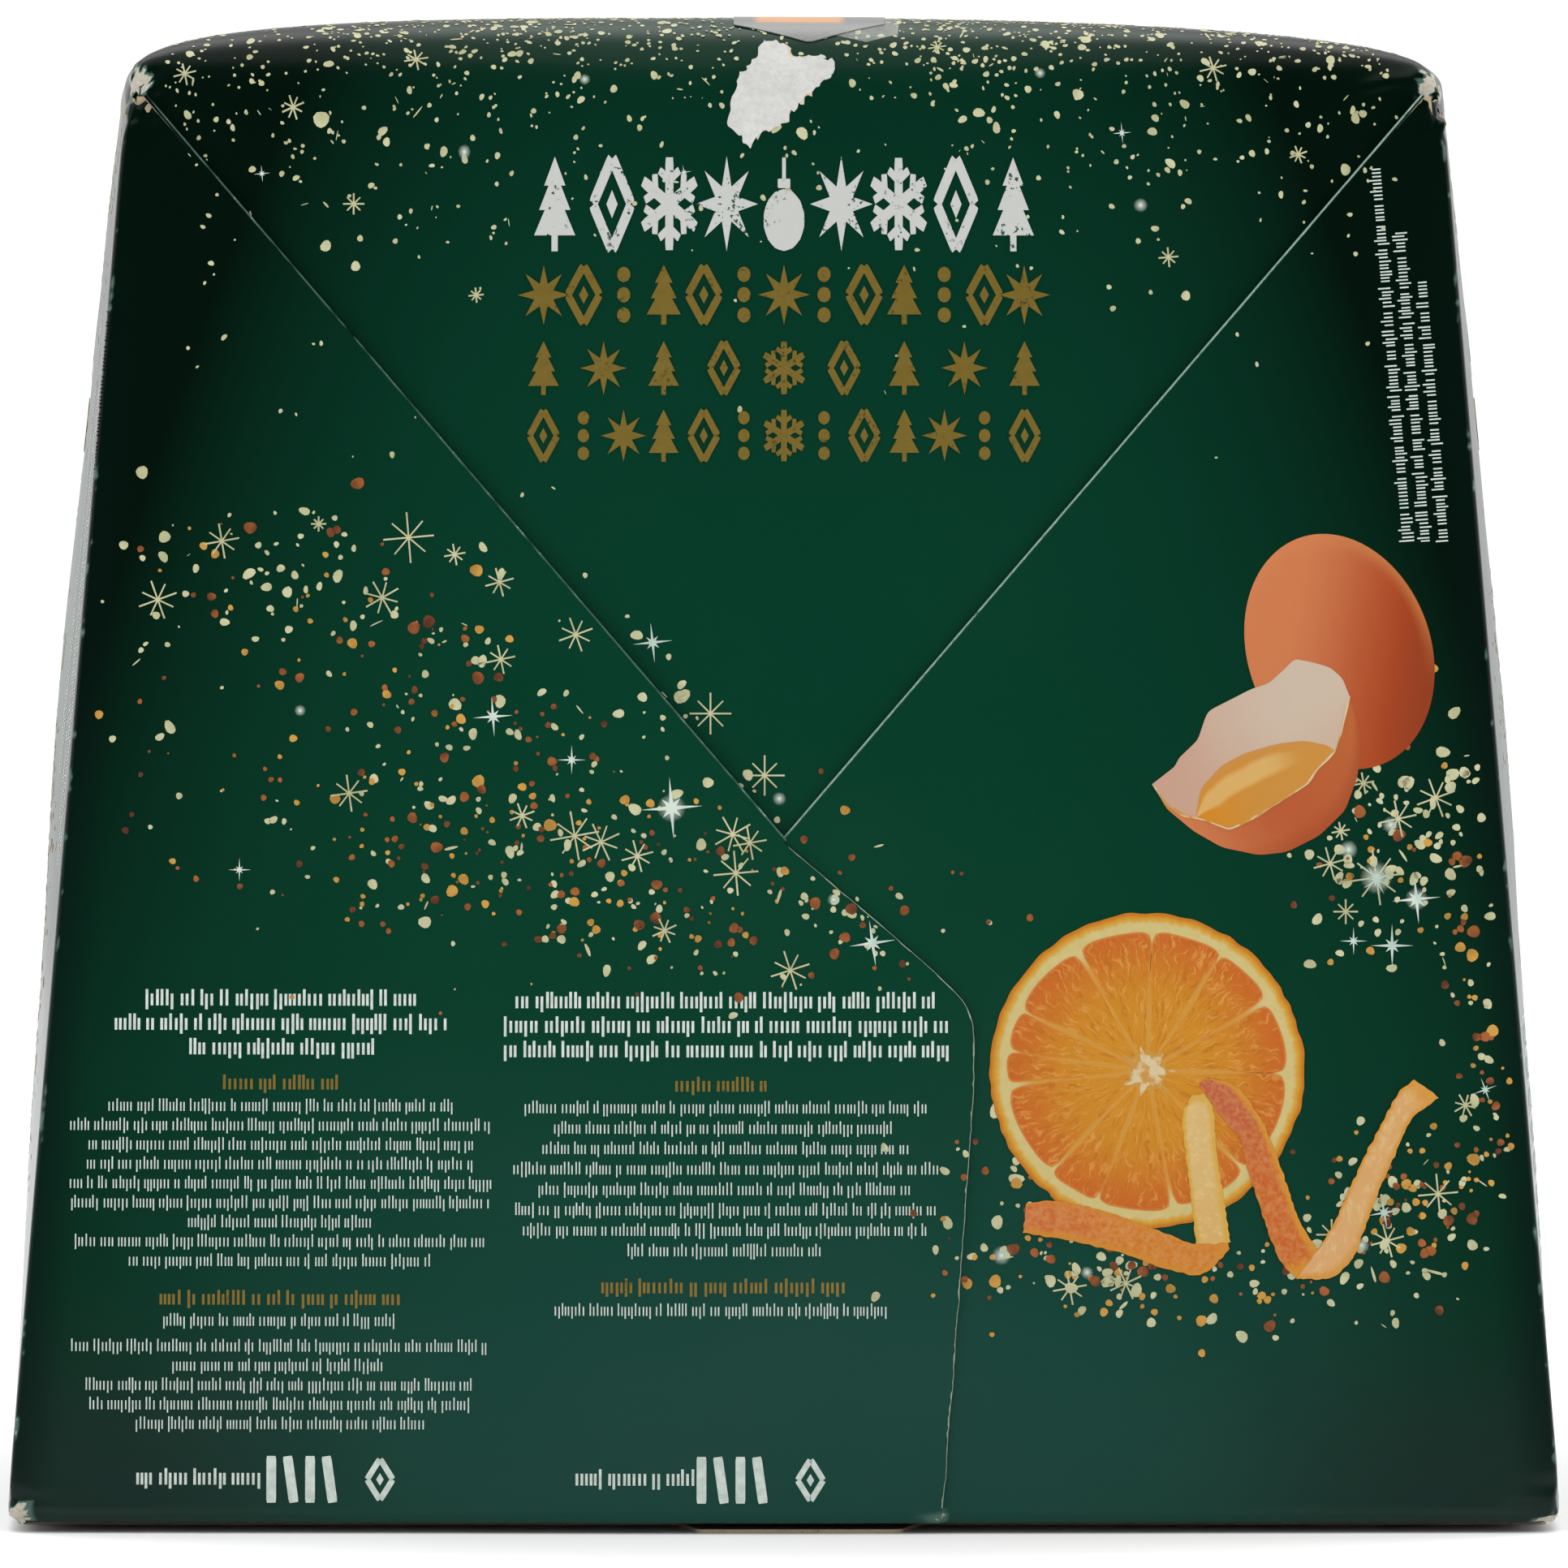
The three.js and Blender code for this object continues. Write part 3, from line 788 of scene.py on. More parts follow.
def stamp(name, outlines, zones, material, skin=face_skin, lift=0.05, half_turn=False,
          thick=INK):
    """Many small flat shapes of one ink, each a thin closed plate that lies on the board."""
    sizes = [len(outline) for outline in outlines]
    plan = np.concatenate(list(outlines))
    zone = np.repeat(np.broadcast_to(zones, len(sizes)), sizes)
    front = on_skin(skin, plan[:, 0], plan[:, 1], zone, lift, half_turn)
    back = on_skin(skin, plan[:, 0], plan[:, 1], zone, lift - thick, half_turn)
    total, first, faces = len(plan), 0, []
    for size in sizes:
        ring = np.arange(first, first + size)
        x, z = plan[ring].T
        if np.sum(x * np.roll(z, -1) - z * np.roll(x, -1)) < 0.0:
            ring = ring[::-1]
        after = np.roll(ring, -1)
        faces += [ring.tolist(), (ring[::-1] + total).tolist()]
        faces += np.stack([after, ring, ring + total, after + total], -1).tolist()
        first += size
    points = turned(np.concatenate([front, back]), half_turn)
    return make_mesh(name, points, faces, [material])


def patch(name, plan, zone, material, lift, marks=None, half_turn=False,
          thick=INK):
    """A larger printed shape from a grid of places, a thin closed layer that follows the board."""
    across = plan[1:, 1:] - plan[:-1, :-1]
    climb = plan[1:, :-1] - plan[:-1, 1:]
    if np.sum(across[..., 0] * climb[..., 1] - across[..., 1] * climb[..., 0]) < 0.0:
        plan = plan[:, ::-1]
        marks = {mark: values[:, ::-1] for mark, values in (marks or {}).items()}
    x, z = np.moveaxis(plan, -1, 0)
    front = on_skin(face_skin, x, z, zone, lift, half_turn).reshape(-1, 3)
    back = on_skin(face_skin, x, z, zone, lift - thick, half_turn).reshape(-1, 3)
    faces, _ = closed_faces(*plan.shape[:2])
    both = {mark: np.tile(np.broadcast_to(values, plan.shape[:2]).ravel(), 2)
            for mark, values in (marks or {}).items()}
    points = turned(np.concatenate([front, back]), half_turn)
    return make_mesh(name, points, faces.tolist(), [material], marks=both)


def in_one_zone(centres, outlines):
    """Keeps the shapes that don't cross a fold or a cut edge, and gives the sheet each lies on."""
    zones = zone_at(centres[:, 0], centres[:, 1])
    corners = zone_at(outlines[..., 0], outlines[..., 1])
    edge = np.minimum(half_width(outlines[..., 1]).min(1), CORNER_HALF + 14.0) - EDGE_MARGIN
    edge = np.where(outlines[..., 1].max(1) > CORNER_Z - 8.0, CORNER_HALF - CORNER_MARGIN, edge)
    inside = np.abs(outlines[..., 0]).max(1) < edge
    keep = (corners == zones[:, None]).all(1) & inside
    return outlines[keep], zones[keep]


def circle(count):
    """Even angles once round a circle, without the last one, which is the first again."""
    return np.linspace(0.0, 2.0 * np.pi, count, endpoint=False)


def wind(centres, radius, angle):
    """Outlines from a radius and an angle for each corner, about each centre, anticlockwise."""
    ring = np.stack([radius * np.cos(angle), radius * np.sin(angle)], -1)
    return centres[:, None, :] + ring


def flecks(rng, centres, radii, stretch):
    """Rounded uneven flecks: a circle with seeded second and third waves, drawn out one way."""
    count = len(centres)
    angle = circle(10)[None, :]
    phase = rng.uniform(0.0, 2.0 * np.pi, (count, 3, 1))
    shape = 1.0 + 0.06 * np.sin(2 * angle + phase[:, 0]) + 0.07 * np.sin(3 * angle + phase[:, 1])
    ring = wind(np.zeros((count, 2)), radii[:, None] * shape, np.broadcast_to(angle, (count, 10)))
    long = rng.uniform(1.0, stretch, (count, 1))
    ring = ring * np.stack([long, 1.0 / long], -1)
    lean = phase[:, 2]
    x = ring[..., 0] * np.cos(lean) - ring[..., 1] * np.sin(lean)
    z = ring[..., 0] * np.sin(lean) + ring[..., 1] * np.cos(lean)
    return centres[:, None, :] + np.stack([x, z], -1)


def stars(centres, radii, leans):
    """Thin stars of eight rays: each ray is two tip corners, with a waist between rays."""
    ray = np.arange(8) * np.pi / 4.0
    long = np.where(np.arange(8) % 2 == 0, 1.0, 0.86)
    half = RAY_HALF / radii[:, None]
    tip = radii[:, None] * long[None, :]
    waist = np.full_like(tip, RAY_HALF * 2.4)
    angle = np.stack([np.broadcast_to(ray - np.pi / 8.0, tip.shape), ray - half, ray + half], -1)
    radius = np.stack([waist, tip, tip], -1)
    count = len(centres)
    return wind(centres, radius.reshape(count, 24), angle.reshape(count, 24) + leans[:, None])


def twinkles(centres, radii, leans):
    """Four-armed twinkles with small arms between: pointed tips round a broad waist."""
    angle = np.arange(16) * np.pi / 8.0
    reach = np.tile([1.0, 0.17, 0.42, 0.17], 4)
    count = len(centres)
    turn = angle[None, :] + leans[:, None] * np.ones((count, 1))
    return wind(centres, radii[:, None] * reach[None, :], turn)


def ink(name, low, high, grain):
    """An ink whose tone drifts between two colours at a fine grain."""
    def paint(tree):
        point, _ = place(tree)
        tone = noise(point, grain, 2.0)
        return {"Base Color": tone.between(0.3, 0.7).mix(colour(*low), colour(*high)),
                "Roughness": 0.38 + tone * 0.08, "Specular IOR Level": INK_SHINE}
    return new_material(name, paint)


cream_ink = ink("cream_ink", (0.34, 0.34, 0.185), (0.47, 0.465, 0.28), 300.0)
gold_ink = ink("gold_ink", (0.30, 0.155, 0.020), (0.49, 0.26, 0.04), 300.0)
# Painted shade: dark brown flecks that stand for the gold foil seen in shade, a darker copy of the gold
# ink above.
shaded_gold_ink = ink("shaded_gold_ink", (0.075, 0.018, 0.004), (0.30, 0.085, 0.012), 300.0)
pale_ink = ink("pale_ink", (0.35, 0.45, 0.39), (0.51, 0.59, 0.52), 300.0)
FLECK_INKS = {"cream": cream_ink, "gold": gold_ink, "shaded_gold": shaded_gold_ink}

# A drift of flecks: middle, spread along and across, lean in degrees, how many, the shares of
# cream, gold and gold painted in shade among them, and the size that their radii vary about.
DRIFTS = (
    ((-74.0, 122.0), (9.0, 5.0), -14.0, 34, (0.62, 0.14, 0.24), 0.52),
    ((-52.0, 118.0), (13.0, 7.0), -18.0, 74, (0.50, 0.20, 0.30), 0.46),
    ((-36.0, 101.0), (18.0, 7.0), -38.0, 90, (0.44, 0.24, 0.32), 0.42),
    ((-29.0, 90.0), (16.0, 7.0), -16.0, 150, (0.38, 0.26, 0.36), 0.44),
    ((-22.0, 79.0), (24.0, 5.5), -6.0, 120, (0.34, 0.28, 0.38), 0.42),
    ((-58.0, 92.0), (14.0, 9.0), -10.0, 46, (0.36, 0.24, 0.40), 0.34),
    ((-17.0, 106.0), (12.0, 4.0), -48.0, 22, (0.95, 0.0, 0.05), 0.56),
    ((6.0, 79.0), (8.0, 4.0), -40.0, 34, (0.60, 0.15, 0.25), 0.50),
    ((-82.0, 104.0), (4.0, 10.0), 0.0, 10, (0.6, 0.2, 0.2), 0.50),
    ((78.0, 86.0), (8.5, 8.0), -60.0, 115, (0.74, 0.14, 0.12), 0.52),
    ((85.0, 95.0), (5.0, 5.0), 20.0, 26, (0.94, 0.04, 0.02), 0.56),
    ((90.0, 62.0), (2.4, 12.0), 5.0, 54, (0.42, 0.32, 0.26), 0.50),
    ((32.0, 40.0), (6.5, 5.0), -18.0, 78, (0.55, 0.20, 0.25), 0.50),
    ((54.0, 33.0), (16.0, 3.2), 2.0, 110, (0.55, 0.25, 0.20), 0.50),
    ((78.0, 42.0), (9.0, 4.6), 24.0, 130, (0.42, 0.30, 0.28), 0.50),
)


DRIFT_SCALE = 0.80  # the middling radius as a share of a drift's size


def drift_flecks(rng, drifts):
    """Seeded normal scatter of each drift, with a size for every fleck, sorted into inks."""
    made = {"cream": [], "gold": [], "shaded_gold": []}
    for middle, spread, lean, count, shares, size in drifts:
        offset = rng.normal(size=(count, 2)) * np.array(spread)
        turn = np.radians(lean)
        x = middle[0] + offset[:, 0] * np.cos(turn) - offset[:, 1] * np.sin(turn)
        z = middle[1] + offset[:, 0] * np.sin(turn) + offset[:, 1] * np.cos(turn)
        radii = DRIFT_SCALE * size * np.exp(rng.normal(0.0, 0.44, count))
        chosen = rng.choice(3, count, p=shares)
        for number, shade in enumerate(made):
            pick = chosen == number
            made[shade].append(np.column_stack([x[pick], z[pick], radii[pick].clip(0.13, 0.82)]))
    return {shade: np.concatenate(parts) for shade, parts in made.items()}


def snowfall(rng, count):
    """Flecks over the shoulder: thickest at the crown, thinning out down the leaf and over the top."""
    x = 164.0 * rng.uniform(0.0, 1.0, count) ** 0.86 - 82.0
    fall = rng.exponential(8.6, count)
    z = 203.0 - fall - 6.0 * (np.abs(x) / 80.0) ** 2
    radii = 0.21 * np.exp(rng.normal(0.0, 0.46, count))
    return np.column_stack([x, z, radii.clip(0.12, 0.72)])


def crown_snow(rng, count):
    """Flecks crowded in two clouds, either side of the middle and a little under the crown."""
    x = rng.choice([-32.0, 27.0], count) + rng.normal(0.0, 15.0, count)
    z = 204.0 - rng.gamma(2.6, 4.4, count)
    return np.column_stack([x, z, 0.235 * np.exp(rng.normal(0.0, 0.4, count))])


def top_snow(rng, count):
    """Sparser flecks over the top, out to where the other face's own begin."""
    x = rng.uniform(-82.0, 82.0, count)
    z = 202.0 + 76.0 * rng.uniform(0.0, 1.0, count) ** 1.4
    return np.column_stack([x, z, 0.30 * np.exp(rng.normal(0.0, 0.4, count))])


def leaf_stray(rng, count):
    """Stray flecks down both sides of the leaf, none behind its middle block."""
    x = rng.choice([-1.0, 1.0], count) * rng.uniform(36.0, 78.0, count)
    z = 184.0 - rng.exponential(12.0, count)
    return np.column_stack([x, z, 0.28 * np.exp(rng.normal(0.0, 0.4, count))])


# Stars: across, up, ray length, lean in degrees.
FRONT_STARS = np.array([
    (-72.9, 128.0, 2.3, 10), (-48.6, 128.4, 3.3, 5), (-81.2, 120.4, 2.6, 20), (-52.0, 120.6, 2.4, 30),
    (-36.8, 122.6, 1.9, 15), (-36.6, 112.6, 1.9, 12), (-26.9, 115.8, 2.3, 20), (-9.5, 105.6, 2.7, 0),
    (-2.5, 97.6, 2.6, 0), (-56.2, 95.3, 2.4, 8), (-27.0, 89.8, 3.2, 10), (-23.6, 89.0, 2.6, 25),
    (-18.9, 87.2, 2.1, 15), (-6.6, 90.0, 2.6, 30), (-4.4, 88.9, 2.2, 10), (-6.2, 85.0, 2.9, 5),
    (0.8, 72.5, 2.6, 18), (-15.4, 77.6, 1.7, 25), (-33.8, 92.4, 1.7, 20), (-60.3, 130.2, 1.0, 0),
    (-42.6, 126.2, 1.4, 10), (79.5, 92.0, 2.4, 12), (84.4, 94.7, 2.6, 20), (72.0, 90.4, 1.2, 10),
    (70.6, 86.2, 2.2, 15), (76.6, 84.4, 3.6, 8), (72.6, 80.0, 1.6, 0), (75.0, 96.6, 1.4, 10),
    (77.8, 37.6, 2.2, 15), (84.4, 43.6, 2.6, 5), (36.8, 31.6, 2.2, 10), (44.0, 32.2, 2.2, 25),
    (70.6, 38.4, 2.0, 0), (53.6, 35.6, 1.5, 20), (88.0, 55.0, 1.6, 30), (-64.0, 184.0, 1.5, 20),
    (-56.0, 172.0, 1.4, 0), (-48.0, 190.0, 1.6, 10), (56.0, 189.0, 1.8, 15), (50.0, 165.0, 1.3, 5),
    (67.0, 178.5, 1.2, 20), (-40.0, 160.0, 1.0, 5), (20.0, 192.0, 1.2, 12), (-78.2, 188.6, 1.5, 12),
])
FRONT_TWINKLES = np.array([
    (-14.5, 93.4, 4.0, 4), (-17.0, 114.8, 2.6, 6), (-37.6, 105.2, 2.6, 4), (-27.4, 99.6, 1.9, 0),
    (11.4, 76.0, 3.0, 8), (-70.4, 85.4, 1.5, 0), (76.6, 84.0, 2.0, 30), (81.8, 81.6, 3.2, 5),
    (78.6, 75.6, 2.8, 0), (73.6, 76.2, 1.8, 0), (77.4, 41.2, 2.2, 10), (90.6, 57.0, 1.6, 20),
    (-13.0, 176.0, 1.0, 10), (44.0, 181.0, 1.2, 5), (-68.0, 176.0, 1.1, 5),
])
GLOWS = np.array([
    (-0.6, 94.6, 0.95), (28.0, 35.8, 1.35), (73.0, 88.0, 1.3), (78.5, 91.2, 1.2), (6.4, 81.6, 0.9),
    (-41.6, 178.6, 0.9), (46.4, 171.8, 1.0), (33.4, 188.0, 0.8), (-26.0, 187.0, 0.8), (39.0, 33.6, 0.9),
    (-14.5, 93.4, 2.0), (76.6, 84.4, 2.3), (81.8, 81.6, 1.6), (-62.6, 106.0, 0.8), (74.4, 37.0, 1.2),
])


def paint_glow(tree):
    """Pale ink that fades to nothing towards the rim of each spot."""
    point, _ = place(tree)
    fade = point.node("Attribute", settings={"attribute_name": "glow"}, output=2)
    return {"Base Color": colour(0.54, 0.64, 0.54), "Roughness": 0.35, "Alpha": (fade ** 1.6) * 0.85,
            "Specular IOR Level": INK_SHINE}


glow_ink = new_material("glow_ink", paint_glow)


def glow_spots(name, spots, half_turn=False):
    """Soft round spots, each a thin closed plate: three rings, marked 1 inmost and 0 at the rim."""
    corners = 14
    angle = circle(corners)[None, :]
    shares = (0.02, 0.5, 1.0)
    rings = [wind(spots[:, :2], spots[:, 2:3] * share, np.broadcast_to(angle, (len(spots), corners)))
             for share in shares]
    plan = np.concatenate(rings, 1)
    zone = zone_at(spots[:, 0], spots[:, 1])[:, None]
    both = [on_skin(face_skin, plan[..., 0], plan[..., 1], zone, lift, half_turn).reshape(-1, 3)
            for lift in (0.09, 0.07)]
    points = turned(np.concatenate(both), half_turn)
    total = len(both[0])
    first = (np.arange(len(spots)) * corners * 3)[:, None]
    number = np.arange(corners)[None, :]
    after = (number + 1) % corners
    front = (first + number).tolist()
    for ring in (0, 1):
        low, high = first + ring * corners, first + (ring + 1) * corners
        ring_faces = np.stack([low + number, high + number, high + after, low + after], -1)
        front += ring_faces.reshape(-1, 4).tolist()
    rim, beside = first + 2 * corners + number, first + 2 * corners + after
    faces = front + [[total + corner for corner in face[::-1]] for face in front]
    faces += np.stack([beside, rim, rim + total, beside + total], -1).reshape(-1, 4).tolist()
    glow = np.tile(np.repeat([1.0, 0.42, 0.0], corners), 2 * len(spots))
    piece = make_mesh(name, points, faces, [glow_ink], marks={"glow": glow})
    return piece


def scatter_print(prefix, seed, half_turn):
    """All the sparkle print of one lapped face."""
    rng = np.random.default_rng(seed)
    found = drift_flecks(rng, DRIFTS)
    extra = [snowfall(rng, 1180), crown_snow(rng, 420), leaf_stray(rng, 70), top_snow(rng, 260)]
    found["cream"] = np.concatenate([found["cream"], *extra])
    for number, (shade, spots) in enumerate(found.items()):
        outlines = flecks(rng, spots[:, :2], spots[:, 2], FLECK_STRETCH[shade])
        outlines, zones = in_one_zone(spots[:, :2], outlines)
        stamp(f"{prefix}_{shade}_flecks", outlines, zones, FLECK_INKS[shade],
              lift=FLECK_LIFT + FLECK_STEP * number, half_turn=half_turn)
    slivers = found["cream"][::14]
    beside = slivers[:, :2] + rng.normal(0, 3.0, (len(slivers), 2))
    outlines = flecks(rng, beside, slivers[:, 2] * 0.7, 3.2)
    outlines, zones = in_one_zone(outlines.mean(1), outlines)
    stamp(f"{prefix}_slivers", outlines, zones, cream_ink, lift=0.066, half_turn=half_turn)
    for name, shape, spots, material, lift in (
            ("stars", stars, FRONT_STARS, cream_ink, STAR_LIFT),
            ("twinkles", twinkles, FRONT_TWINKLES, pale_ink, 0.100)):
        outlines = shape(spots[:, :2], spots[:, 2], np.radians(spots[:, 3]))
        outlines, zones = in_one_zone(spots[:, :2], outlines)
        stamp(f"{prefix}_{name}", outlines, zones, material, lift=lift, half_turn=half_turn)
    glow_spots(f"{prefix}_glows", GLOWS, half_turn)


# ------------------------------------------------------------------------------------------------
# Picture print. A halved orange, four curls of its peel, an egg and a broken shell, each a thin
# layer of ink on the right flap. Marks on the mesh carry where in the picture each point lies.
# ------------------------------------------------------------------------------------------------


def mark_value(tree, mark):
    return Shade(tree).node("Attribute", settings={"attribute_name": mark}, output=2)


def food_ink(name, body_of, tint, rough=0.36):
    """Ink for a food: its colour times a tint, as ink lies thin on dull board, with little shine."""
    def paint(tree):
        body = body_of(tree)
        settings = {"data_type": "RGBA", "blend_type": "MULTIPLY"}
        thinned = body.node("Mix", {0: 1.0, 6: body, 7: colour(*tint)}, settings, output=2)
        return {"Base Color": thinned, "Roughness": rough, "Specular IOR Level": 0.16}
    return new_material(name, paint)


def stretched(tree, across, along, across_scale, along_scale, seed=0.0):
    """A noise place made from two marks, so grain can run along a curved shape."""
    inputs = {0: across * across_scale, 1: along * along_scale, 2: seed}
    return Shade(tree).node("CombineXYZ", inputs)


def round_plan(middle, half_long, half_short, lean, cells):
    """A square grid drawn round to an ellipse: x is u times the root of 1 less half v squared."""
    u, v = np.meshgrid(np.linspace(-1, 1, cells), np.linspace(-1, 1, cells))
    disc_u = u * np.sqrt(1.0 - v * v / 2.0)
    disc_v = v * np.sqrt(1.0 - u * u / 2.0)
    x = half_short * disc_u
    z = half_long * disc_v
    turn = np.radians(lean)
    plan = np.stack([x * np.cos(turn) - z * np.sin(turn), x * np.sin(turn) + z * np.cos(turn)], -1)
    return plan + np.array(middle), disc_u, disc_v


def through(knots, count, soften=0.7):
    """A smooth run through given knots: even steps along it, then a moving average."""
    knots = np.array(knots)
    length = np.append(0.0, np.cumsum(np.linalg.norm(np.diff(knots, axis=0), axis=1)))
    at = np.linspace(0.0, length[-1], count)
    run = np.stack([np.interp(at, length, knots[:, axis]) for axis in (0, 1)], -1)
    width = max(1, int(soften * count / len(knots)) // 2)
    padded = np.concatenate([2 * run[0] - run[width:0:-1], run, 2 * run[-1] - run[-2:-width - 2:-1]])
    window = np.ones(2 * width + 1) / (2 * width + 1)
    return np.stack([np.convolve(padded[:, axis], window, "valid") for axis in (0, 1)], -1)


def ribbon_plan(first, second, rows, columns, soften=0.7):
    """The surface between two runs, with its share across and its share along."""
    share = np.linspace(0.0, 1.0, columns)[None, :, None]
    one, two = through(first, rows, soften), through(second, rows, soften)
    plan = one[:, None] * (1.0 - share) + two[:, None] * share
    along = np.linspace(0.0, 1.0, rows)[:, None] * np.ones((1, columns))
    return plan, share[..., 0] * np.ones((rows, 1)), along


ORANGE_X, ORANGE_Z, ORANGE_R = 46.8, 59.5, 20.3
MEMBRANES = (-1.0, 30.0, 57.0, 88.0, 120.0, 154.0, 172.0, 186.0, 226.0, 249.0, 281.0, 314.0, 359.0)


def rind_body(tree):
    """Pith with a thin pitted rind round it, both from how far out the point lies."""
    point, _ = place(tree)
    out, turn = mark_value(tree, "out"), mark_value(tree, "turn")
    teeth = noise(stretched(tree, turn, out, 30.0, 6.0), 1.0, 2.0)
    fine = noise(point, 900.0, 2.0)
    edge = (out + (teeth - 0.5) * 0.035).between(0.928, 0.962)
    deep = (out + (teeth - 0.5) * 0.02).between(0.955, 1.0)
    pith = fine.mix(colour(0.74, 0.54, 0.26), colour(0.84, 0.66, 0.38))
    pith = (1.0 - out.between(0.70, 0.86)).mix(pith, colour(0.76, 0.37, 0.07))
    rind = deep.mix(colour(0.83, 0.40, 0.05), colour(0.68, 0.20, 0.008))
    return edge.mix(pith, rind)


def flesh_body(tree):
    """Juice sacs: grain drawn out along the radius, paler threads, redder towards the rind."""
    out, turn, rim = (mark_value(tree, mark) for mark in ("out", "turn", "rim"))
    warp = noise(stretched(tree, turn, out, 7.0, 9.0, 3.0), 1.0, 2.0) - 0.5
    place_at = stretched(tree, turn + warp * 0.16, out, 19.0, 6.0)
    grain = noise(place_at, 1.0, 4.0, 0.62)
    second = noise(stretched(tree, turn + warp * 0.22, out, 34.0, 8.0, 9.0), 1.0, 3.0, 0.6)
    body = (out * 1.05 + grain * 0.5 - 0.35).between(0.30, 0.95).mix(
        colour(0.66, 0.265, 0.012), colour(0.62, 0.125, 0.014))
    dark = (1.0 - grain.between(0.36, 0.50)) * 0.45
    body = dark.mix(body, colour(0.47, 0.085, 0.005))
    thread = (second.between(0.50, 0.68) * 0.58).most((1.0 - rim.between(0.0, 0.35)) * 0.40)
    return thread.mix(body, colour(0.82, 0.41, 0.10))


def core_body(tree):
    point, _ = place(tree)
    grain = noise(point, 620.0, 3.0).between(0.40, 0.58)
    return grain.mix(colour(0.80, 0.46, 0.13), colour(0.93, 0.86, 0.72))


rind_ink = food_ink("rind_ink", rind_body, (0.60, 0.64, 0.48))
flesh_ink = food_ink("flesh_ink", flesh_body, (0.70, 0.72, 0.70))
core_ink = food_ink("core_ink", core_body, (0.56, 0.48, 0.34), 0.38)


def orange_print(prefix, half_turn):
    """The halved orange: pith and rind, twelve wedges of flesh with rounded ends, a pale core."""
    middle = (ORANGE_X, ORANGE_Z)
    plan, u, v = round_plan(middle, ORANGE_R, ORANGE_R, 0.0, 64)
    angle = np.arctan2(v, u)
    radius = np.hypot(u, v)
    notch = 1.0 + 0.006 * ripple(np.cos(angle) * 20, np.sin(angle) * 20, 0.0, 3.0, 5) * radius**8
    plan = (plan - middle) * notch[..., None] + middle
    marks = {"out": radius, "turn": np.abs(angle)}
    patch(f"{prefix}_orange_rind", plan, RIGHT, rind_ink, 0.085, marks, half_turn=half_turn)
    for number in range(12):
        first, last = np.radians(MEMBRANES[number]), np.radians(MEMBRANES[number + 1])
        across = np.linspace(0.0, 1.0, 17)[None, :]
        reach = np.linspace(0.0, 1.0, 26)[:, None]
        bulge = 1.0 - 0.028 * np.abs(2 * across - 1) ** 7 + 0.006 * np.sin(5 * across + number)
        out = 0.125 + (0.888 * bulge - 0.125) * reach
        gap = 0.09 / (out * ORANGE_R)
        middle_angle = (first + last) / 2.0
        half_angle = ((last - first) / 2.0 - gap) * (1.0 - 0.06 * smooth(0.90, 1.0, reach) ** 2)
        sway = 0.012 * np.sin(reach * 6.0 + number * 2.0)
        turn = middle_angle + half_angle * (2 * across - 1) + sway
        x = ORANGE_X + out * ORANGE_R * np.cos(turn)
        z = ORANGE_Z + out * ORANGE_R * np.sin(turn)
        side = (1.0 - np.abs(2 * across - 1)) * half_angle * out * ORANGE_R
        rim = np.minimum(side, (1.0 - reach) * ORANGE_R * 0.7)
        marks = {"out": out, "turn": turn + 4.0, "rim": rim}
        patch(f"{prefix}_orange_wedge_{number + 1}", np.stack(np.broadcast_arrays(x, z), -1), RIGHT,
              flesh_ink, 0.105, marks, half_turn=half_turn)
    rng = np.random.default_rng(31)
    angle = circle(48)
    spokes = 0.5 + 0.5 * np.cos(angle * 7.0 + 0.6 * np.sin(angle * 3.0))
    core = ORANGE_R * (0.085 + 0.085 * spokes**2 + 0.02 * rng.uniform(-1, 1, 48))
    outline = np.stack([ORANGE_X + core * np.cos(angle), ORANGE_Z + core * np.sin(angle)], -1)
    stamp(f"{prefix}_orange_core", [outline], RIGHT, core_ink, lift=0.125, half_turn=half_turn)


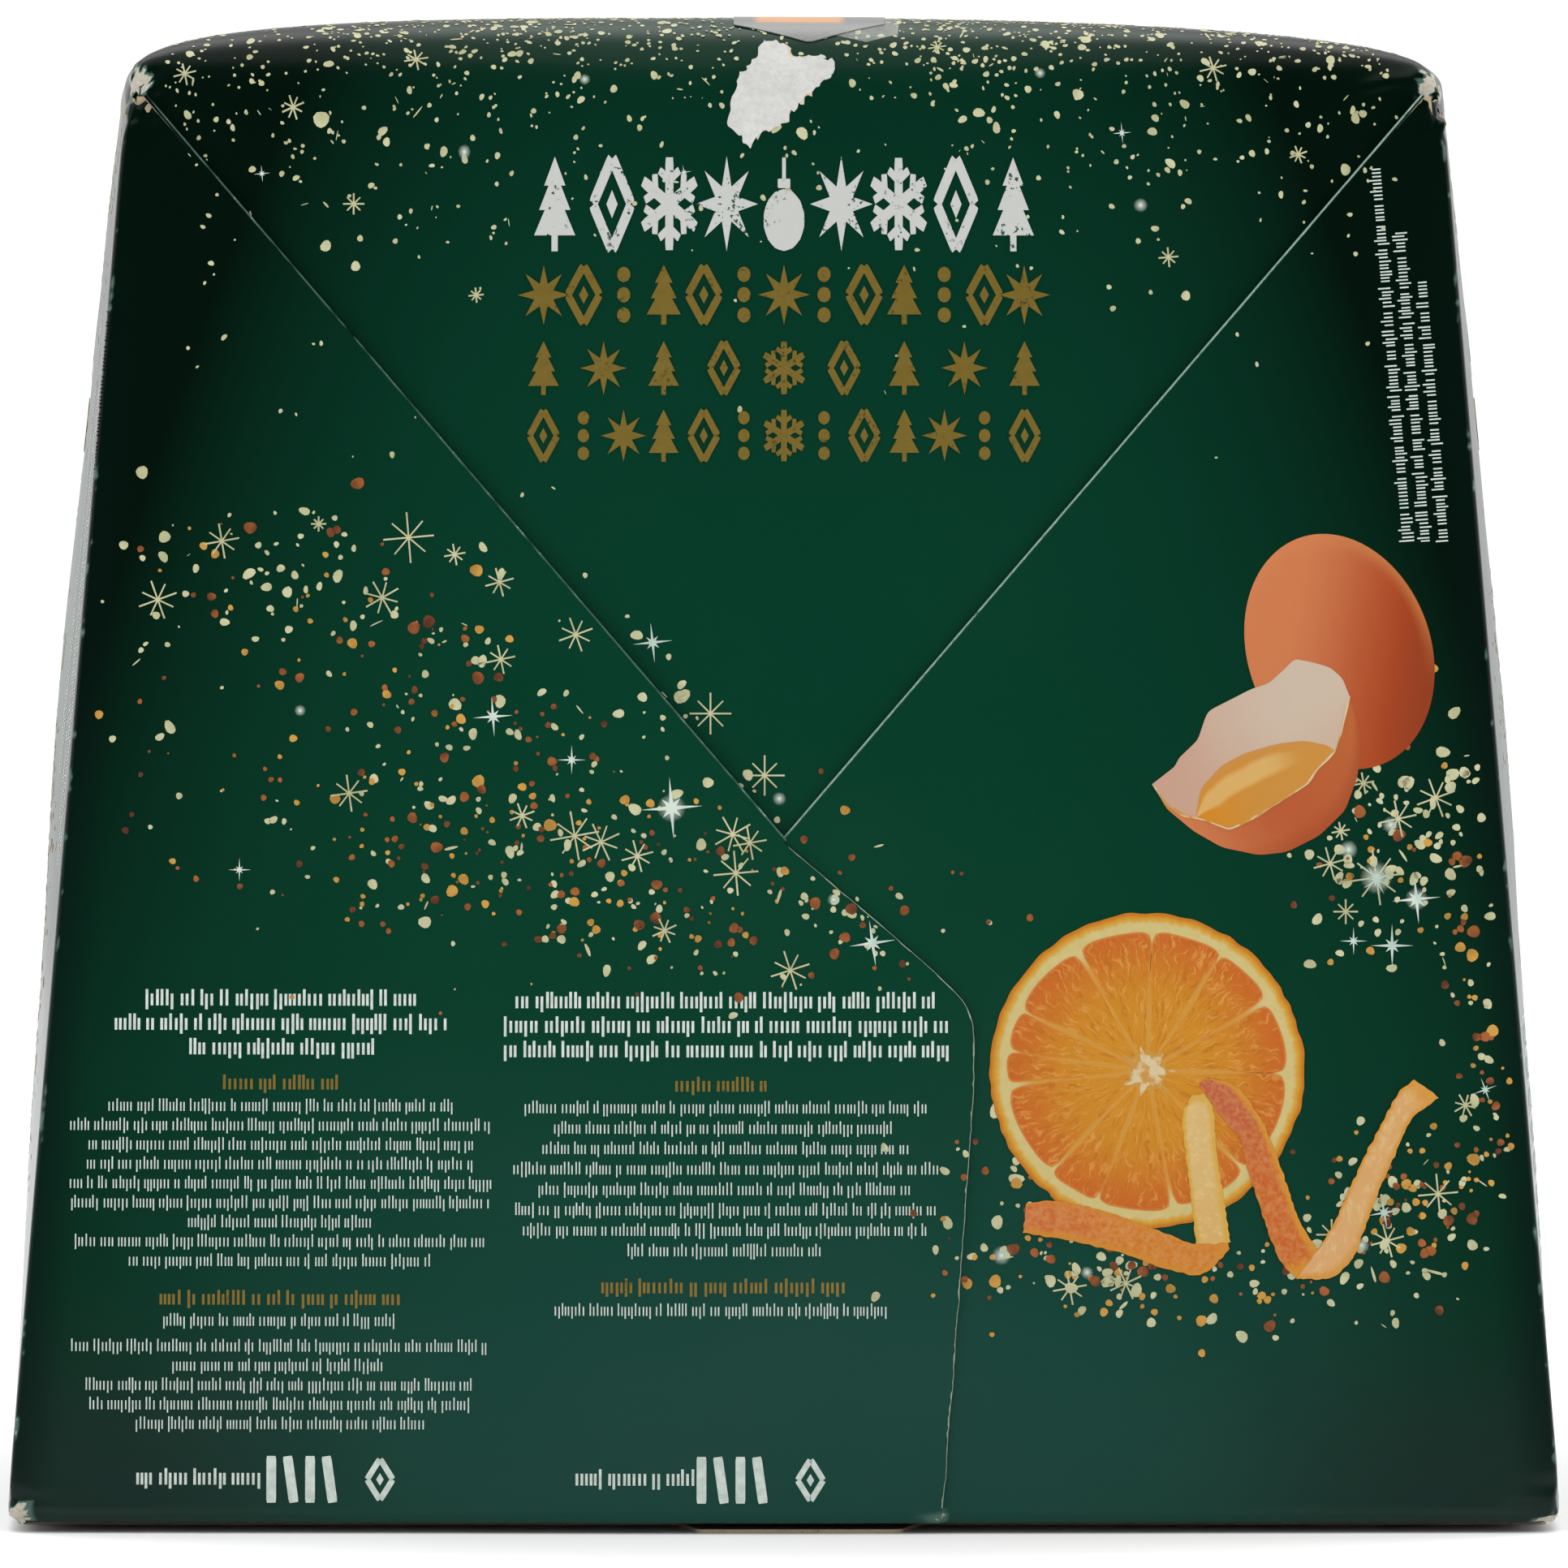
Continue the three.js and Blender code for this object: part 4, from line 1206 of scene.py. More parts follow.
# Each peel curl: one edge, the other edge, its rim tint, its tints from first end to last, how
# strong its pits are, how far the rim tint shows on the first edge, its pale streaks, its lift.
PEELS = (
    (((31.2, 42.6), (34.9, 42.9), (40.1, 41.9), (45.4, 40.1), (48.9, 38.7), (53.1, 37.0), (56.8, 38.4)),
     ((30.8, 38.7), (37.5, 37.6), (44.1, 35.9), (48.9, 34.1), (53.1, 33.1), (54.6, 33.4), (57.4, 36.6)),
     (0.78, 0.34, 0.045), (0.72, 0.175, 0.050), (0.76, 0.255, 0.030), 0.34, 0.5, 0.12, 0.135),
    (((53.1, 37.2), (52.4, 43.3), (51.8, 48.6), (51.2, 53.9), (52.6, 56.4)),
     ((57.5, 37.4), (56.6, 43.3), (55.7, 49.5), (55.4, 54.8), (54.2, 56.6)),
     (0.80, 0.50, 0.09), (0.82, 0.56, 0.27), (0.84, 0.62, 0.36), 0.14, 1.0, 0.65, 0.155),
    (((53.5, 57.9), (56.0, 53.9), (59.0, 50.8), (59.5, 47.3), (61.2, 42.5), (62.6, 38.1), (64.1, 34.6),
      (66.0, 32.8)),
     ((55.1, 58.6), (58.4, 57.6), (61.2, 53.9), (63.2, 49.5), (64.9, 44.7), (66.3, 40.3), (68.7, 36.3),
      (70.8, 34.6)),
     (0.82, 0.40, 0.05), (0.62, 0.13, 0.085), (0.70, 0.16, 0.030), 0.30, 0.15, 0.10, 0.175),
    (((68.7, 36.3), (70.9, 39.8), (73.1, 44.7), (74.9, 48.6), (77.1, 52.6), (79.3, 56.8), (81.4, 58.3)),
     ((66.0, 32.7), (70.6, 32.6), (73.4, 35.2), (76.6, 43.8), (78.8, 48.6), (80.9, 53.4), (84.6, 56.0)),
     (0.80, 0.38, 0.06), (0.84, 0.50, 0.32), (0.82, 0.50, 0.28), 0.16, 1.0, 0.60, 0.195),
)


def peel_ink(name, edge, first, last, grain, near, shine):
    """Peel: its own edge tint on one side, a tint that drifts along it, and fine pits."""
    def peel_body(tree):
        point, _ = place(tree)
        across, along = mark_value(tree, "across"), mark_value(tree, "along")
        pits = noise(point, 1500.0, 3.0, 0.6)
        blotch = noise(point, 420.0, 2.0)
        body = (along + (blotch - 0.5) * 0.4).between(0.05, 0.6).mix(colour(*first), colour(*last))
        body = (pits.between(0.36, 0.66) * grain).mix(body, colour(0.88, 0.52, 0.27))
        silk = noise(stretched(tree, across, along, 5.0, 26.0, first[0] * 9.0), 1.0, 3.0, 0.6)
        body = (silk.between(0.45, 0.72) * shine).mix(body, colour(0.92, 0.74, 0.52))
        wobble = across + (pits - 0.5) * 0.14
        rim = ((1.0 - wobble.between(0.02, 0.17)) * near).most(wobble.between(0.72, 0.96) * 0.85)
        tip = (along + (pits - 0.5) * 0.05).between(0.89, 0.97)
        return rim.most(tip * 0.8).mix(body, colour(*edge))
    return food_ink(name, peel_body, (0.62, 0.57, 0.38))


peel_inks = [peel_ink(f"peel_ink_{number + 1}", *peel[2:8]) for number, peel in enumerate(PEELS)]


def peel_print(prefix, half_turn):
    for number, (first, second, *_, lift) in enumerate(PEELS):
        plan, across, along = ribbon_plan(first, second, 70, 13)
        plan = plan + 0.07 * np.stack([ripple(plan[..., 0], plan[..., 1], 0.0, 1.6, 81 + axis)
                                       for axis in (0, 1)], -1)
        patch(f"{prefix}_peel_{number + 1}", plan, RIGHT, peel_inks[number], lift,
              {"across": across, "along": along}, half_turn=half_turn)


def egg_body(tree):
    """A lit egg: salmon at its upper left, red-brown low on the right, tan light along that rim."""
    point, _ = place(tree)
    u, v = mark_value(tree, "across"), mark_value(tree, "along")
    speckle = noise(point, 2600.0, 2.0)
    shade = u * 0.75 - v * 0.55 + (speckle - 0.5) * 0.10
    body = shade.between(-0.55, 0.62).mix(colour(0.70, 0.285, 0.150), colour(0.47, 0.088, 0.022))
    low = (shade.between(0.35, 0.95)) * 0.6
    body = low.mix(body, colour(0.25, 0.045, 0.012))
    rim = (u * u + v * v).between(0.72, 1.0) * u.between(0.1, 0.7) * (v + 0.6).between(0.0, 0.7)
    body = (rim * 0.85).mix(body, colour(0.60, 0.25, 0.095))
    top = ((u * u + v * v).between(0.6, 1.0) * v.between(0.2, 0.9)) * 0.35
    return top.mix(body, colour(0.74, 0.36, 0.2))


def shell_inside_body(tree):
    point, _ = place(tree)
    across, along = mark_value(tree, "across"), mark_value(tree, "along")
    soft = noise(point, 90.0, 2.0) * 0.3 + noise(point, 2600.0, 2.0) * 0.1
    body = (along + soft - 0.2).between(0.05, 0.75).mix(
        colour(0.63, 0.40, 0.31), colour(0.66, 0.56, 0.46))
    deep = (across + soft - 0.2).between(0.35, 1.0) * 0.35
    return deep.mix(body, colour(0.64, 0.42, 0.30))


def shell_outside_body(tree):
    point, _ = place(tree)
    across, along = mark_value(tree, "across"), mark_value(tree, "along")
    speckle = noise(point, 2600.0, 2.0)
    body = (along + (speckle - 0.5) * 0.12).between(0.0, 0.55).mix(
        colour(0.52, 0.16, 0.055), colour(0.50, 0.125, 0.045))
    light = along.between(0.45, 0.95) * 0.9
    body = light.mix(body, colour(0.66, 0.27, 0.13))
    dark = across.between(0.55, 1.0) * (1.0 - along.between(0.5, 0.8)) * 0.45
    return dark.mix(body, colour(0.33, 0.06, 0.02))


def yolk_body(tree):
    point, _ = place(tree)
    across, along = mark_value(tree, "across"), mark_value(tree, "along")
    drift = noise(point, 150.0, 2.0) - 0.5
    body = (along + drift * 0.3).between(0.05, 0.6).mix(
        colour(0.62, 0.22, 0.012), colour(0.57, 0.24, 0.035))
    band = 1.0 - abs(across - 0.34 + drift * 0.2).between(0.10, 0.22)
    band = band * (1.0 - along.between(0.55, 0.8))
    body = (band * 0.8).mix(body, colour(0.68, 0.40, 0.12))
    edge = (1.0 - across.between(0.02, 0.16)) * 0.7
    return edge.mix(body, colour(0.55, 0.24, 0.05))


egg_ink = food_ink("egg_ink", egg_body, (0.67, 0.51, 0.35))
inside_ink = food_ink("shell_inside_ink", shell_inside_body, (0.69, 0.65, 0.61))
outside_ink = food_ink("shell_outside_ink", shell_outside_body, (0.73, 0.60, 0.45))
yolk_ink = food_ink("yolk_ink", yolk_body, (0.79, 0.85, 0.95))

EGG_MIDDLE = (71.6, 114.7)
SHELL_TOP = ((47.6, 96.5), (50.7, 98.9), (50.8, 99.6), (53.5, 102.2), (54.6, 105.4), (55.0, 106.0),
             (60.5, 108.8), (62.7, 109.5), (64.6, 111.2), (66.1, 112.7), (68.6, 112.2), (70.7, 111.6),
             (72.3, 110.2), (73.2, 107.9))
SHELL_RIM = ((47.6, 96.5), (49.3, 93.9), (51.4, 92.5), (54.4, 91.8), (57.5, 90.6), (60.2, 91.8),
             (63.8, 94.0), (67.7, 96.5), (68.9, 98.3), (71.3, 100.7), (72.1, 103.0), (73.2, 107.9))
SHELL_OUT = ((48.6, 94.9), (49.3, 93.4), (52.9, 90.4), (56.6, 88.3), (61.4, 87.3), (65.0, 87.7),
             (69.2, 89.8), (72.6, 93.1), (74.2, 97.4), (74.7, 101.9), (74.2, 105.4), (73.2, 107.9))
YOLK_TOP = ((53.2, 92.1), (53.8, 95.9), (56.6, 98.9), (59.6, 100.5), (63.8, 101.7), (67.4, 102.1),
            (70.7, 101.4), (71.3, 100.7))
YOLK_RIM = ((53.2, 92.1), (54.4, 91.8), (57.5, 90.7), (60.2, 91.9), (63.8, 94.1), (67.7, 96.6),
            (68.9, 98.4), (71.3, 100.7))


def egg_print(prefix, half_turn):
    """The whole egg, then the broken shell over it: outside, inside, its yolk and the pale rim."""
    plan, u, v = round_plan(EGG_MIDDLE, 15.6, 11.9, 19.0, 40)
    narrow = 1.0 - 0.07 * v
    plan = np.array(EGG_MIDDLE) + (plan - EGG_MIDDLE) * narrow[..., None]
    patch(f"{prefix}_egg", plan, RIGHT, egg_ink, 0.085, {"across": u, "along": v}, half_turn=half_turn)
    parts = (("outside", SHELL_RIM, SHELL_OUT, outside_ink, 0.105, 0.5, 14),
             ("inside", SHELL_TOP, SHELL_RIM, inside_ink, 0.125, 0.15, 20),
             ("white", YOLK_TOP, YOLK_RIM, yolk_ink, 0.145, 0.6, 14))
    for part, first, second, material, lift, soften, columns in parts:
        plan, across, along = ribbon_plan(first, second, 80, columns, soften)
        if part == "outside":
            along = 1.0 - along
        patch(f"{prefix}_shell_{part}", plan, RIGHT, material, lift,
              {"across": across, "along": along}, half_turn=half_turn)
    rim = through(SHELL_RIM, 120, 0.3)
    side = np.gradient(rim, axis=0)[:, ::-1] * np.array([-1.0, 1.0])
    side /= np.linalg.norm(side, axis=1, keepdims=True)
    width = 0.11 + 0.05 * ripple(rim[:, 0], rim[:, 1], 0.0, 4.0, 91)[:, None]
    plan = np.stack([rim - side * width, rim + side * width], 1)
    patch(f"{prefix}_shell_rim", plan, RIGHT, core_ink, 0.165, half_turn=half_turn)


# ------------------------------------------------------------------------------------------------
# Ornament print. A white row and three gilt rows of plain folk motifs on the leaf, and small
# ruled tick marks in columns where a carton carries its small print. None of it is lettering.
# ------------------------------------------------------------------------------------------------


def paint_worn_white(tree):
    point, _ = place(tree)
    patchy = noise(point, 260.0, 2.0).between(0.50, 0.60)
    holes = noise(point, 1900.0, 2.0, 0.6).between(0.585, 0.61) * patchy
    stray = noise(point, 1100.0, 1.0).between(0.735, 0.75)
    body = holes.most(stray).mix(colour(0.445, 0.455, 0.435), colour(0.02, 0.06, 0.04))
    return {"Base Color": body, "Roughness": 0.42, "Specular IOR Level": INK_SHINE}


def paint_gilt(tree):
    point, _ = place(tree)
    patchy = noise(point, 300.0, 2.0).between(0.50, 0.62)
    holes = noise(point, 2300.0, 2.0, 0.6).between(0.585, 0.615) * patchy * 0.8
    tone = noise(point, 700.0, 3.0)
    body = tone.mix(colour(0.180, 0.122, 0.014), colour(0.235, 0.160, 0.024))
    return {"Base Color": holes.mix(body, colour(0.06, 0.05, 0.012)), "Roughness": 0.34,
            "Metallic": 0.35, "Normal": bump(point, tone, 0.00004)}


white_ink = new_material("white_ink", paint_worn_white)
gilt_ink = new_material("gilt_foil", paint_gilt)
text_ink = ink("text_ink", (0.42, 0.49, 0.445), (0.54, 0.61, 0.56), 900.0)

HALF_TREE = ((0.05, -0.5), (0.05, -0.33), (0.33, -0.33), (0.16, -0.06), (0.25, -0.06), (0.10, 0.20),
             (0.17, 0.20), (0.0, 0.5))


def bar(x, z, long, wide, lean):
    """A straight stroke with blunt corners, by its middle, length, width and lean in degrees."""
    corners = np.array([[-0.5, -0.42], [-0.44, -0.5], [0.44, -0.5], [0.5, -0.42],
                        [0.5, 0.42], [0.44, 0.5], [-0.44, 0.5], [-0.5, 0.42]]) * (wide, long)
    turn = np.radians(lean)
    spin = np.array([[np.cos(turn), np.sin(turn)], [-np.sin(turn), np.cos(turn)]])
    return corners @ spin + (x, z)


def spiked(points, outer, inner, x=0.0, z=0.0):
    """A star outline: its points and waists by turns."""
    angle = np.pi / 2.0 + np.arange(2 * points) * np.pi / points
    radius = np.where(np.arange(2 * points) % 2 == 0, outer, inner)
    return np.stack([x + radius * np.cos(angle), z + radius * np.sin(angle)], -1)


def motif(kind):
    """One plain motif in a box one unit high: a list of outlines."""
    if kind == "tree":
        half = np.array(HALF_TREE)
        return [np.concatenate([half, (half * (-1.0, 1.0))[-2::-1]])]
    if kind == "lozenge":
        sides = [bar(sx * 0.155, sz * 0.245, 0.56, 0.14, lean)
                 for sx, sz, lean in ((1, 1, 32), (-1, 1, -32), (-1, -1, 32), (1, -1, -32))]
        return sides + [spiked(2, 0.15, 0.09)]
    if kind == "flake":
        arms = [bar(0.0, 0.0, 0.98, 0.13, lean) for lean in (0, 60, 120)]
        tips = [bar(0.30 * np.sin(turn) + 0.07 * np.sin(turn + side),
                    0.30 * np.cos(turn) + 0.07 * np.cos(turn + side),
                    0.22, 0.09, -np.degrees(turn + side * 0.62))
                for turn in np.arange(6) * np.pi / 3.0 for side in (-1.57, 1.57)]
        return arms + tips
    if kind == "star":
        return [spiked(8, 0.5, 0.20)]
    if kind == "bauble":
        ball = spiked(14, 0.33, 0.325, 0.0, -0.17)
        return [ball, bar(0.0, 0.22, 0.10, 0.20, 0), bar(0, 0.36, 0.26, 0.06, 0)]
    if kind == "small star":
        return [spiked(4, 0.42, 0.13)]
    return [spiked(10, 0.13, 0.125, 0.0, lift) for lift in (-0.34, 0.0, 0.34)]


def motif_row(kinds, left, right, low, high, squeeze):
    """Motifs set evenly from left to right, each as tall as the row."""
    tall = high - low
    kinds = kinds.split()
    middles = np.linspace(left, right, len(kinds))
    return [outline * (tall * squeeze, tall) + (middle, (low + high) / 2.0)
            for kind, middle in zip(kinds, middles) for outline in motif(kind)]


WHITE_ROW = "tree lozenge flake star bauble star flake lozenge tree"
GILT_ROWS = (
    ("star lozenge dots tree lozenge dots star dots lozenge tree dots lozenge star", 156.1, 163.9),
    ("tree star tree lozenge flake lozenge tree star tree", 146.95, 153.95),
    ("lozenge dots star tree lozenge dots flake dots lozenge tree star dots lozenge", 138.25, 145.05),
)


def ornament_print(prefix, half_turn):
    row = motif_row(WHITE_ROW, -29.8, 29.8, 165.7, 178.0, 0.66)
    stamp(f"{prefix}_white_row", row, LEAF, white_ink, lift=0.110, half_turn=half_turn)
    for number, (kinds, low, high) in enumerate(GILT_ROWS):
        row = motif_row(kinds, -31.2, 31.2, low, high, 0.86)
        stamp(f"{prefix}_gilt_row_{number + 1}", row, LEAF, gilt_ink, lift=0.14, half_turn=half_turn,
              thick=0.10)


def ticks(rng, length, height, stroke, pitch):
    """A line of small print: upright ticks in groups, along from 0 and up from 0."""
    at, left = [], int(rng.integers(3, 10))
    position = 0.0
    while position < length:
        at.append(position)
        left -= 1
        position += pitch * rng.uniform(0.85, 1.2)
        if left == 0:
            position += pitch * 0.95
            left = int(rng.integers(2, 11))
    at = np.array(at)
    tall = height * rng.choice([0.72, 0.72, 0.72, 1.0], len(at))
    drop = height * rng.choice([0.0, 0.0, 0.0, 0.0, 0.0, 0.24], len(at))
    return [np.array([[x, -d], [x + stroke, -d], [x + stroke, t], [x, t]])
            for x, t, d in zip(at, tall, drop)]


# Small print on the left flap: middle across, base of the first line, line step, tick height,
# stroke, tick pitch, gilt or not, and the length of each line.
PRINT_BLOCKS = (
    (-65.0, 67.9, 3.15, 2.1, 0.34, 0.62, False, (35.0, 43.0, 23.6)),
    (-65.0, 57.1, 3.00, 1.9, 0.34, 0.62, True, (14.8,)),
    (-65.0, 54.3, 2.49, 1.60, 0.17, 0.45, False,
     (44.5, 54.4, 49.6, 50.0, 54.4, 54.0, 23.7, 53.0, 39.0)),
    (-65.0, 29.4, 3.00, 1.9, 0.34, 0.62, True, (31.0,)),
    (-65.0, 26.7, 2.49, 1.60, 0.17, 0.45, False, (30.0,)),
    (-65.0, 23.4, 2.49, 1.60, 0.17, 0.45, False, (53.8, 27.6, 50.0, 49.0, 37.0)),
    (-75.4, 6.3, 3.00, 2.1, 0.34, 0.62, False, (16.0,)),
    (-7.6, 67.6, 3.15, 2.1, 0.34, 0.62, False, (54.0, 57.0, 57.0)),
    (-8.2, 56.9, 3.00, 1.9, 0.34, 0.62, True, (11.6,)),
    (-7.6, 54.1, 2.62, 1.60, 0.17, 0.45, False, (51.6, 44.0, 47.0, 54.5, 48.0, 54.0, 52.0, 25.0)),
    (-8.0, 31.0, 3.00, 1.9, 0.34, 0.62, True, (31.0,)),
    (-8.0, 28.1, 2.49, 1.60, 0.17, 0.45, False, (43.0,)),
    (-19.0, 6.3, 3.00, 2.1, 0.34, 0.62, False, (15.6,)),
)
WEIGHT_MARKS = (-66.0, -10.6)  # where each row of four bars and a lozenge starts
EDGE_LINES = ((81.4, 48.6), (83.8, 40.5), (86.2, 34.0))  # tick lines down the right crease


def small_print(prefix, seed, half_turn):
    rng = np.random.default_rng(seed)
    plain, gilt = [], []
    for middle, base, step, height, stroke, pitch, is_gilt, lengths in PRINT_BLOCKS:
        for row, length in enumerate(lengths):
            line = ticks(rng, length, height, stroke, pitch)
            start = (middle - length / 2.0, base - row * step)
            (gilt if is_gilt else plain).extend(outline + start for outline in line)
    for left in WEIGHT_MARKS:
        plain += [bar(left + 2.5 * number, 7.0, 6.0, 1.25, 8 * (number % 2)) for number in range(4)]
        plain += [outline * 5.4 + (left + 14.0, 7.0) for outline in motif("lozenge")]
    lean = np.arctan((BASE_HALF - CORNER_HALF) / CORNER_Z)
    for start_x, length in EDGE_LINES:
        line = ticks(rng, length, 1.6, 0.19, 0.45)
        spin = np.array([[-np.sin(lean), np.cos(lean)], [-np.cos(lean), -np.sin(lean)]])
        plain += [outline @ spin + (start_x, 128.0) for outline in line]
    for name, outlines, material, slot in (("small_print", plain, text_ink, "printed_ink"),
                                           ("gilt_print", gilt, gilt_ink, "printed_foil")):
        middles = np.array([outline.mean(0) for outline in outlines])
        stamp(f"{prefix}_{name}", outlines, zone_at(middles[:, 0], middles[:, 1]), material,
              lift=0.05, half_turn=half_turn)


# ------------------------------------------------------------------------------------------------
# Damage. Where a label was pulled off, the top ply came away and shows white fibres; the left
# flap's cut edge has frayed pale along the lap, and is crushed where it meets the floor.
# ------------------------------------------------------------------------------------------------


def paint_torn(tree):
    point, _ = place(tree)
    fibre = noise(point, 1300.0, 5.0, 0.65)
    cloud = noise(point, 160.0, 3.0)
    across = mark_value(tree, "across")
    body = (fibre * 0.6 + cloud * 0.5).between(0.35, 0.75).mix(
        colour(0.435, 0.435, 0.42), colour(0.555, 0.555, 0.535))
    brown = (across + (cloud - 0.5) * 0.5).between(0.96, 1.0) * 0.5
    return {"Base Color": brown.mix(body, colour(0.50, 0.36, 0.16)), "Roughness": 0.9,
            "Normal": bump(point, fibre, 0.0001)}


def paint_fray(tree):
    point, _ = place(tree)
    fibre = noise(point, 1700.0, 4.0, 0.6)
    body = fibre.mix(colour(0.055, 0.105, 0.080), colour(0.40, 0.44, 0.35))
    return {"Base Color": body, "Roughness": 0.9, "Normal": bump(point, fibre, 0.00008)}


torn_ply = new_material("torn_ply", paint_torn)
frayed = new_material("frayed_edge", paint_fray)

TORN_LEFT = ((-2.8, 193.1), (-3.8, 190.1), (-6.1, 187.3), (-7.0, 184.6), (-7.4, 182.5), (-7.3, 181.4),
             (-5.6, 180.5), (-5.3, 179.3), (-4.3, 178.9))
TORN_RIGHT = ((-1.3, 193.1), (0.2, 192.6), (1.3, 190.1), (4.3, 190.7), (6.2, 189.7), (6.3, 187.8),
              (4.6, 186.2), (2.3, 184.1), (-0.5, 181.2), (-3.3, 180.5), (-4.3, 178.9))
plan, across, along = ribbon_plan(TORN_LEFT, TORN_RIGHT, 60, 24, 0.2)
jag = np.abs(2.0 * across - 1.0)[..., None] ** 6
plan = plan + jag * 0.28 * np.stack([ripple(plan[..., 0], plan[..., 1], 0.0, 1.5, 95 + axis)
                                     for axis in (0, 1)], -1)
patch("torn_ply", plan, LEAF, torn_ply, 0.10, {"across": across}, thick=0.08)

for face, half_turn in (("front", False), ("rear", True)):
    z = np.linspace(3.4, APEX_Z - 0.6, 420)
    wide = 0.04 + 0.11 * smooth(0.0, 1.5, ripple(z, 0.0, 0.0, 5.0, 97) + ripple(z, 0.0, 0.0, 1.3, 98))
    wide = wide + 0.06 * np.exp(-(((z - 3.4) / 1.6) ** 2))
    edge = lap_edge(z)
    plan = np.stack([np.stack([edge - wide, z], -1), np.stack([edge + 0.04, z], -1)], 1)
    patch(f"{face}_frayed_edge", plan, LEFT, frayed, 0.05, half_turn=half_turn)


def print_face(prefix, seed, half_turn):
    """All the print of one lapped face."""
    scatter_print(prefix, seed, half_turn)
    orange_print(prefix, half_turn)
    peel_print(prefix, half_turn)
    egg_print(prefix, half_turn)
    ornament_print(prefix, half_turn)
    small_print(prefix, seed + 1, half_turn)


print_face("front", 101, False)
print_face("rear", 202, True)

# ------------------------------------------------------------------------------------------------
# Side print. Each full side carries its own drift of flecks and stars, the ornament rows, columns
# of ruled ticks up beside its front crease, and a ruled table by its rear one.
# ------------------------------------------------------------------------------------------------
SIDE_DRIFTS = (
    ((-30.0, 118.0), (26.0, 8.0), 14.0, 170, (0.50, 0.24, 0.26), 0.46),
    ((20.0, 104.0), (26.0, 7.0), -22.0, 190, (0.44, 0.26, 0.30), 0.46),
    ((48.0, 70.0), (12.0, 14.0), 20.0, 110, (0.44, 0.28, 0.28), 0.46),
    ((22.0, 42.0), (22.0, 7.0), 12.0, 140, (0.46, 0.28, 0.26), 0.48),
)


def side_snow(rng, count):
    across = rng.uniform(-78.0, 78.0, count)
    z = 183.0 - rng.exponential(9.0, count)
    return np.column_stack([across, z, 0.34 * np.exp(rng.normal(0.0, 0.42, count))])


def ruled_table(rng, left, right, high, step, rows):
    """Thin rules, in short lengths that follow the board, with ticks at each end of every row."""
    wide, lengths = right - left, 12
    middles = left + wide * (np.arange(lengths) + 0.5) / lengths
    rules = [bar(middle, high - step * row, 0.22, wide / lengths + 0.01, 0)
             for row in range(rows + 1) for middle in middles]
    for row in range(rows):
        base = high - step * (row + 0.78)
        for start, long in ((left + 1.0, wide * rng.uniform(0.25, 0.5)), (right - 11.0, 9.0)):
            rules += [outline + (start, base) for outline in ticks(rng, long, step * 0.5, 0.17, 0.45)]
    return rules


def side_print(prefix, seed, belly, half_turn):
    """All the print of one side panel, in millimetres across it from its middle and up."""
    rng = np.random.default_rng(seed)
    skin = side_skin(belly)
    found = drift_flecks(rng, SIDE_DRIFTS)
    found["cream"] = np.concatenate([found["cream"], side_snow(rng, 330)])
    for number, (shade, spots) in enumerate(found.items()):
        spots = spots[(np.abs(spots[:, 0]) < 80.0) & (spots[:, 1] < 182.0) & (spots[:, 1] > 6.0)]
        outlines = flecks(rng, spots[:, :2], spots[:, 2], FLECK_STRETCH[shade])
        stamp(f"{prefix}_{shade}_flecks", outlines, 0, FLECK_INKS[shade], skin=skin,
              lift=FLECK_LIFT + FLECK_STEP * number, half_turn=half_turn)
    star_x = rng.normal(0.0, 32.0, 34).clip(-76, 76)
    star_z = rng.normal(96.0, 26.0, 34).clip(20, 176)
    places = np.column_stack([star_x, star_z])
    rays = stars(places, rng.uniform(1.2, 3.0, 34), rng.uniform(0.0, 0.7, 34))
    stamp(f"{prefix}_stars", rays, 0, cream_ink, skin=skin, lift=STAR_LIFT, half_turn=half_turn)
    row = motif_row(WHITE_ROW, -29.6, 29.6, 152.0, 164.2, 0.70)
    stamp(f"{prefix}_white_row", row, 0, white_ink, skin=skin, lift=0.100, half_turn=half_turn)
    row = motif_row(GILT_ROWS[0][0], -31.2, 31.2, 142.0, 149.1, 0.86)
    stamp(f"{prefix}_gilt_row", row, 0, gilt_ink, skin=skin, lift=0.13, half_turn=half_turn,
          thick=0.09)
    quarter = np.array([[0.0, 1.0], [-1.0, 0.0]])
    lines = ruled_table(rng, -84.0, -30.0, 66.0, 4.2, 11)
    for across, low, length in ((89.0, 86.0, 72.0), (85.6, 86.0, 66.0), (82.2, 92.0, 50.0),
                                (74.0, 98.0, 60.0), (70.6, 98.0, 52.0)):
        line = ticks(rng, length, 1.7, 0.20, 0.48)
        lines += [outline @ quarter + (across, low) for outline in line]
    stamp(f"{prefix}_small_print", lines, 0, text_ink, skin=skin, lift=0.05, half_turn=half_turn)


side_print("left", 303, LEFT_BELLY, False)
side_print("right", 404, RIGHT_BELLY, True)

# ------------------------------------------------------------------------------------------------
# Contents. The cake in its pleated baking paper, closed in a film bag whose gathered neck is held
# by a tie. Nothing of it shows until the carton is opened.
# ------------------------------------------------------------------------------------------------


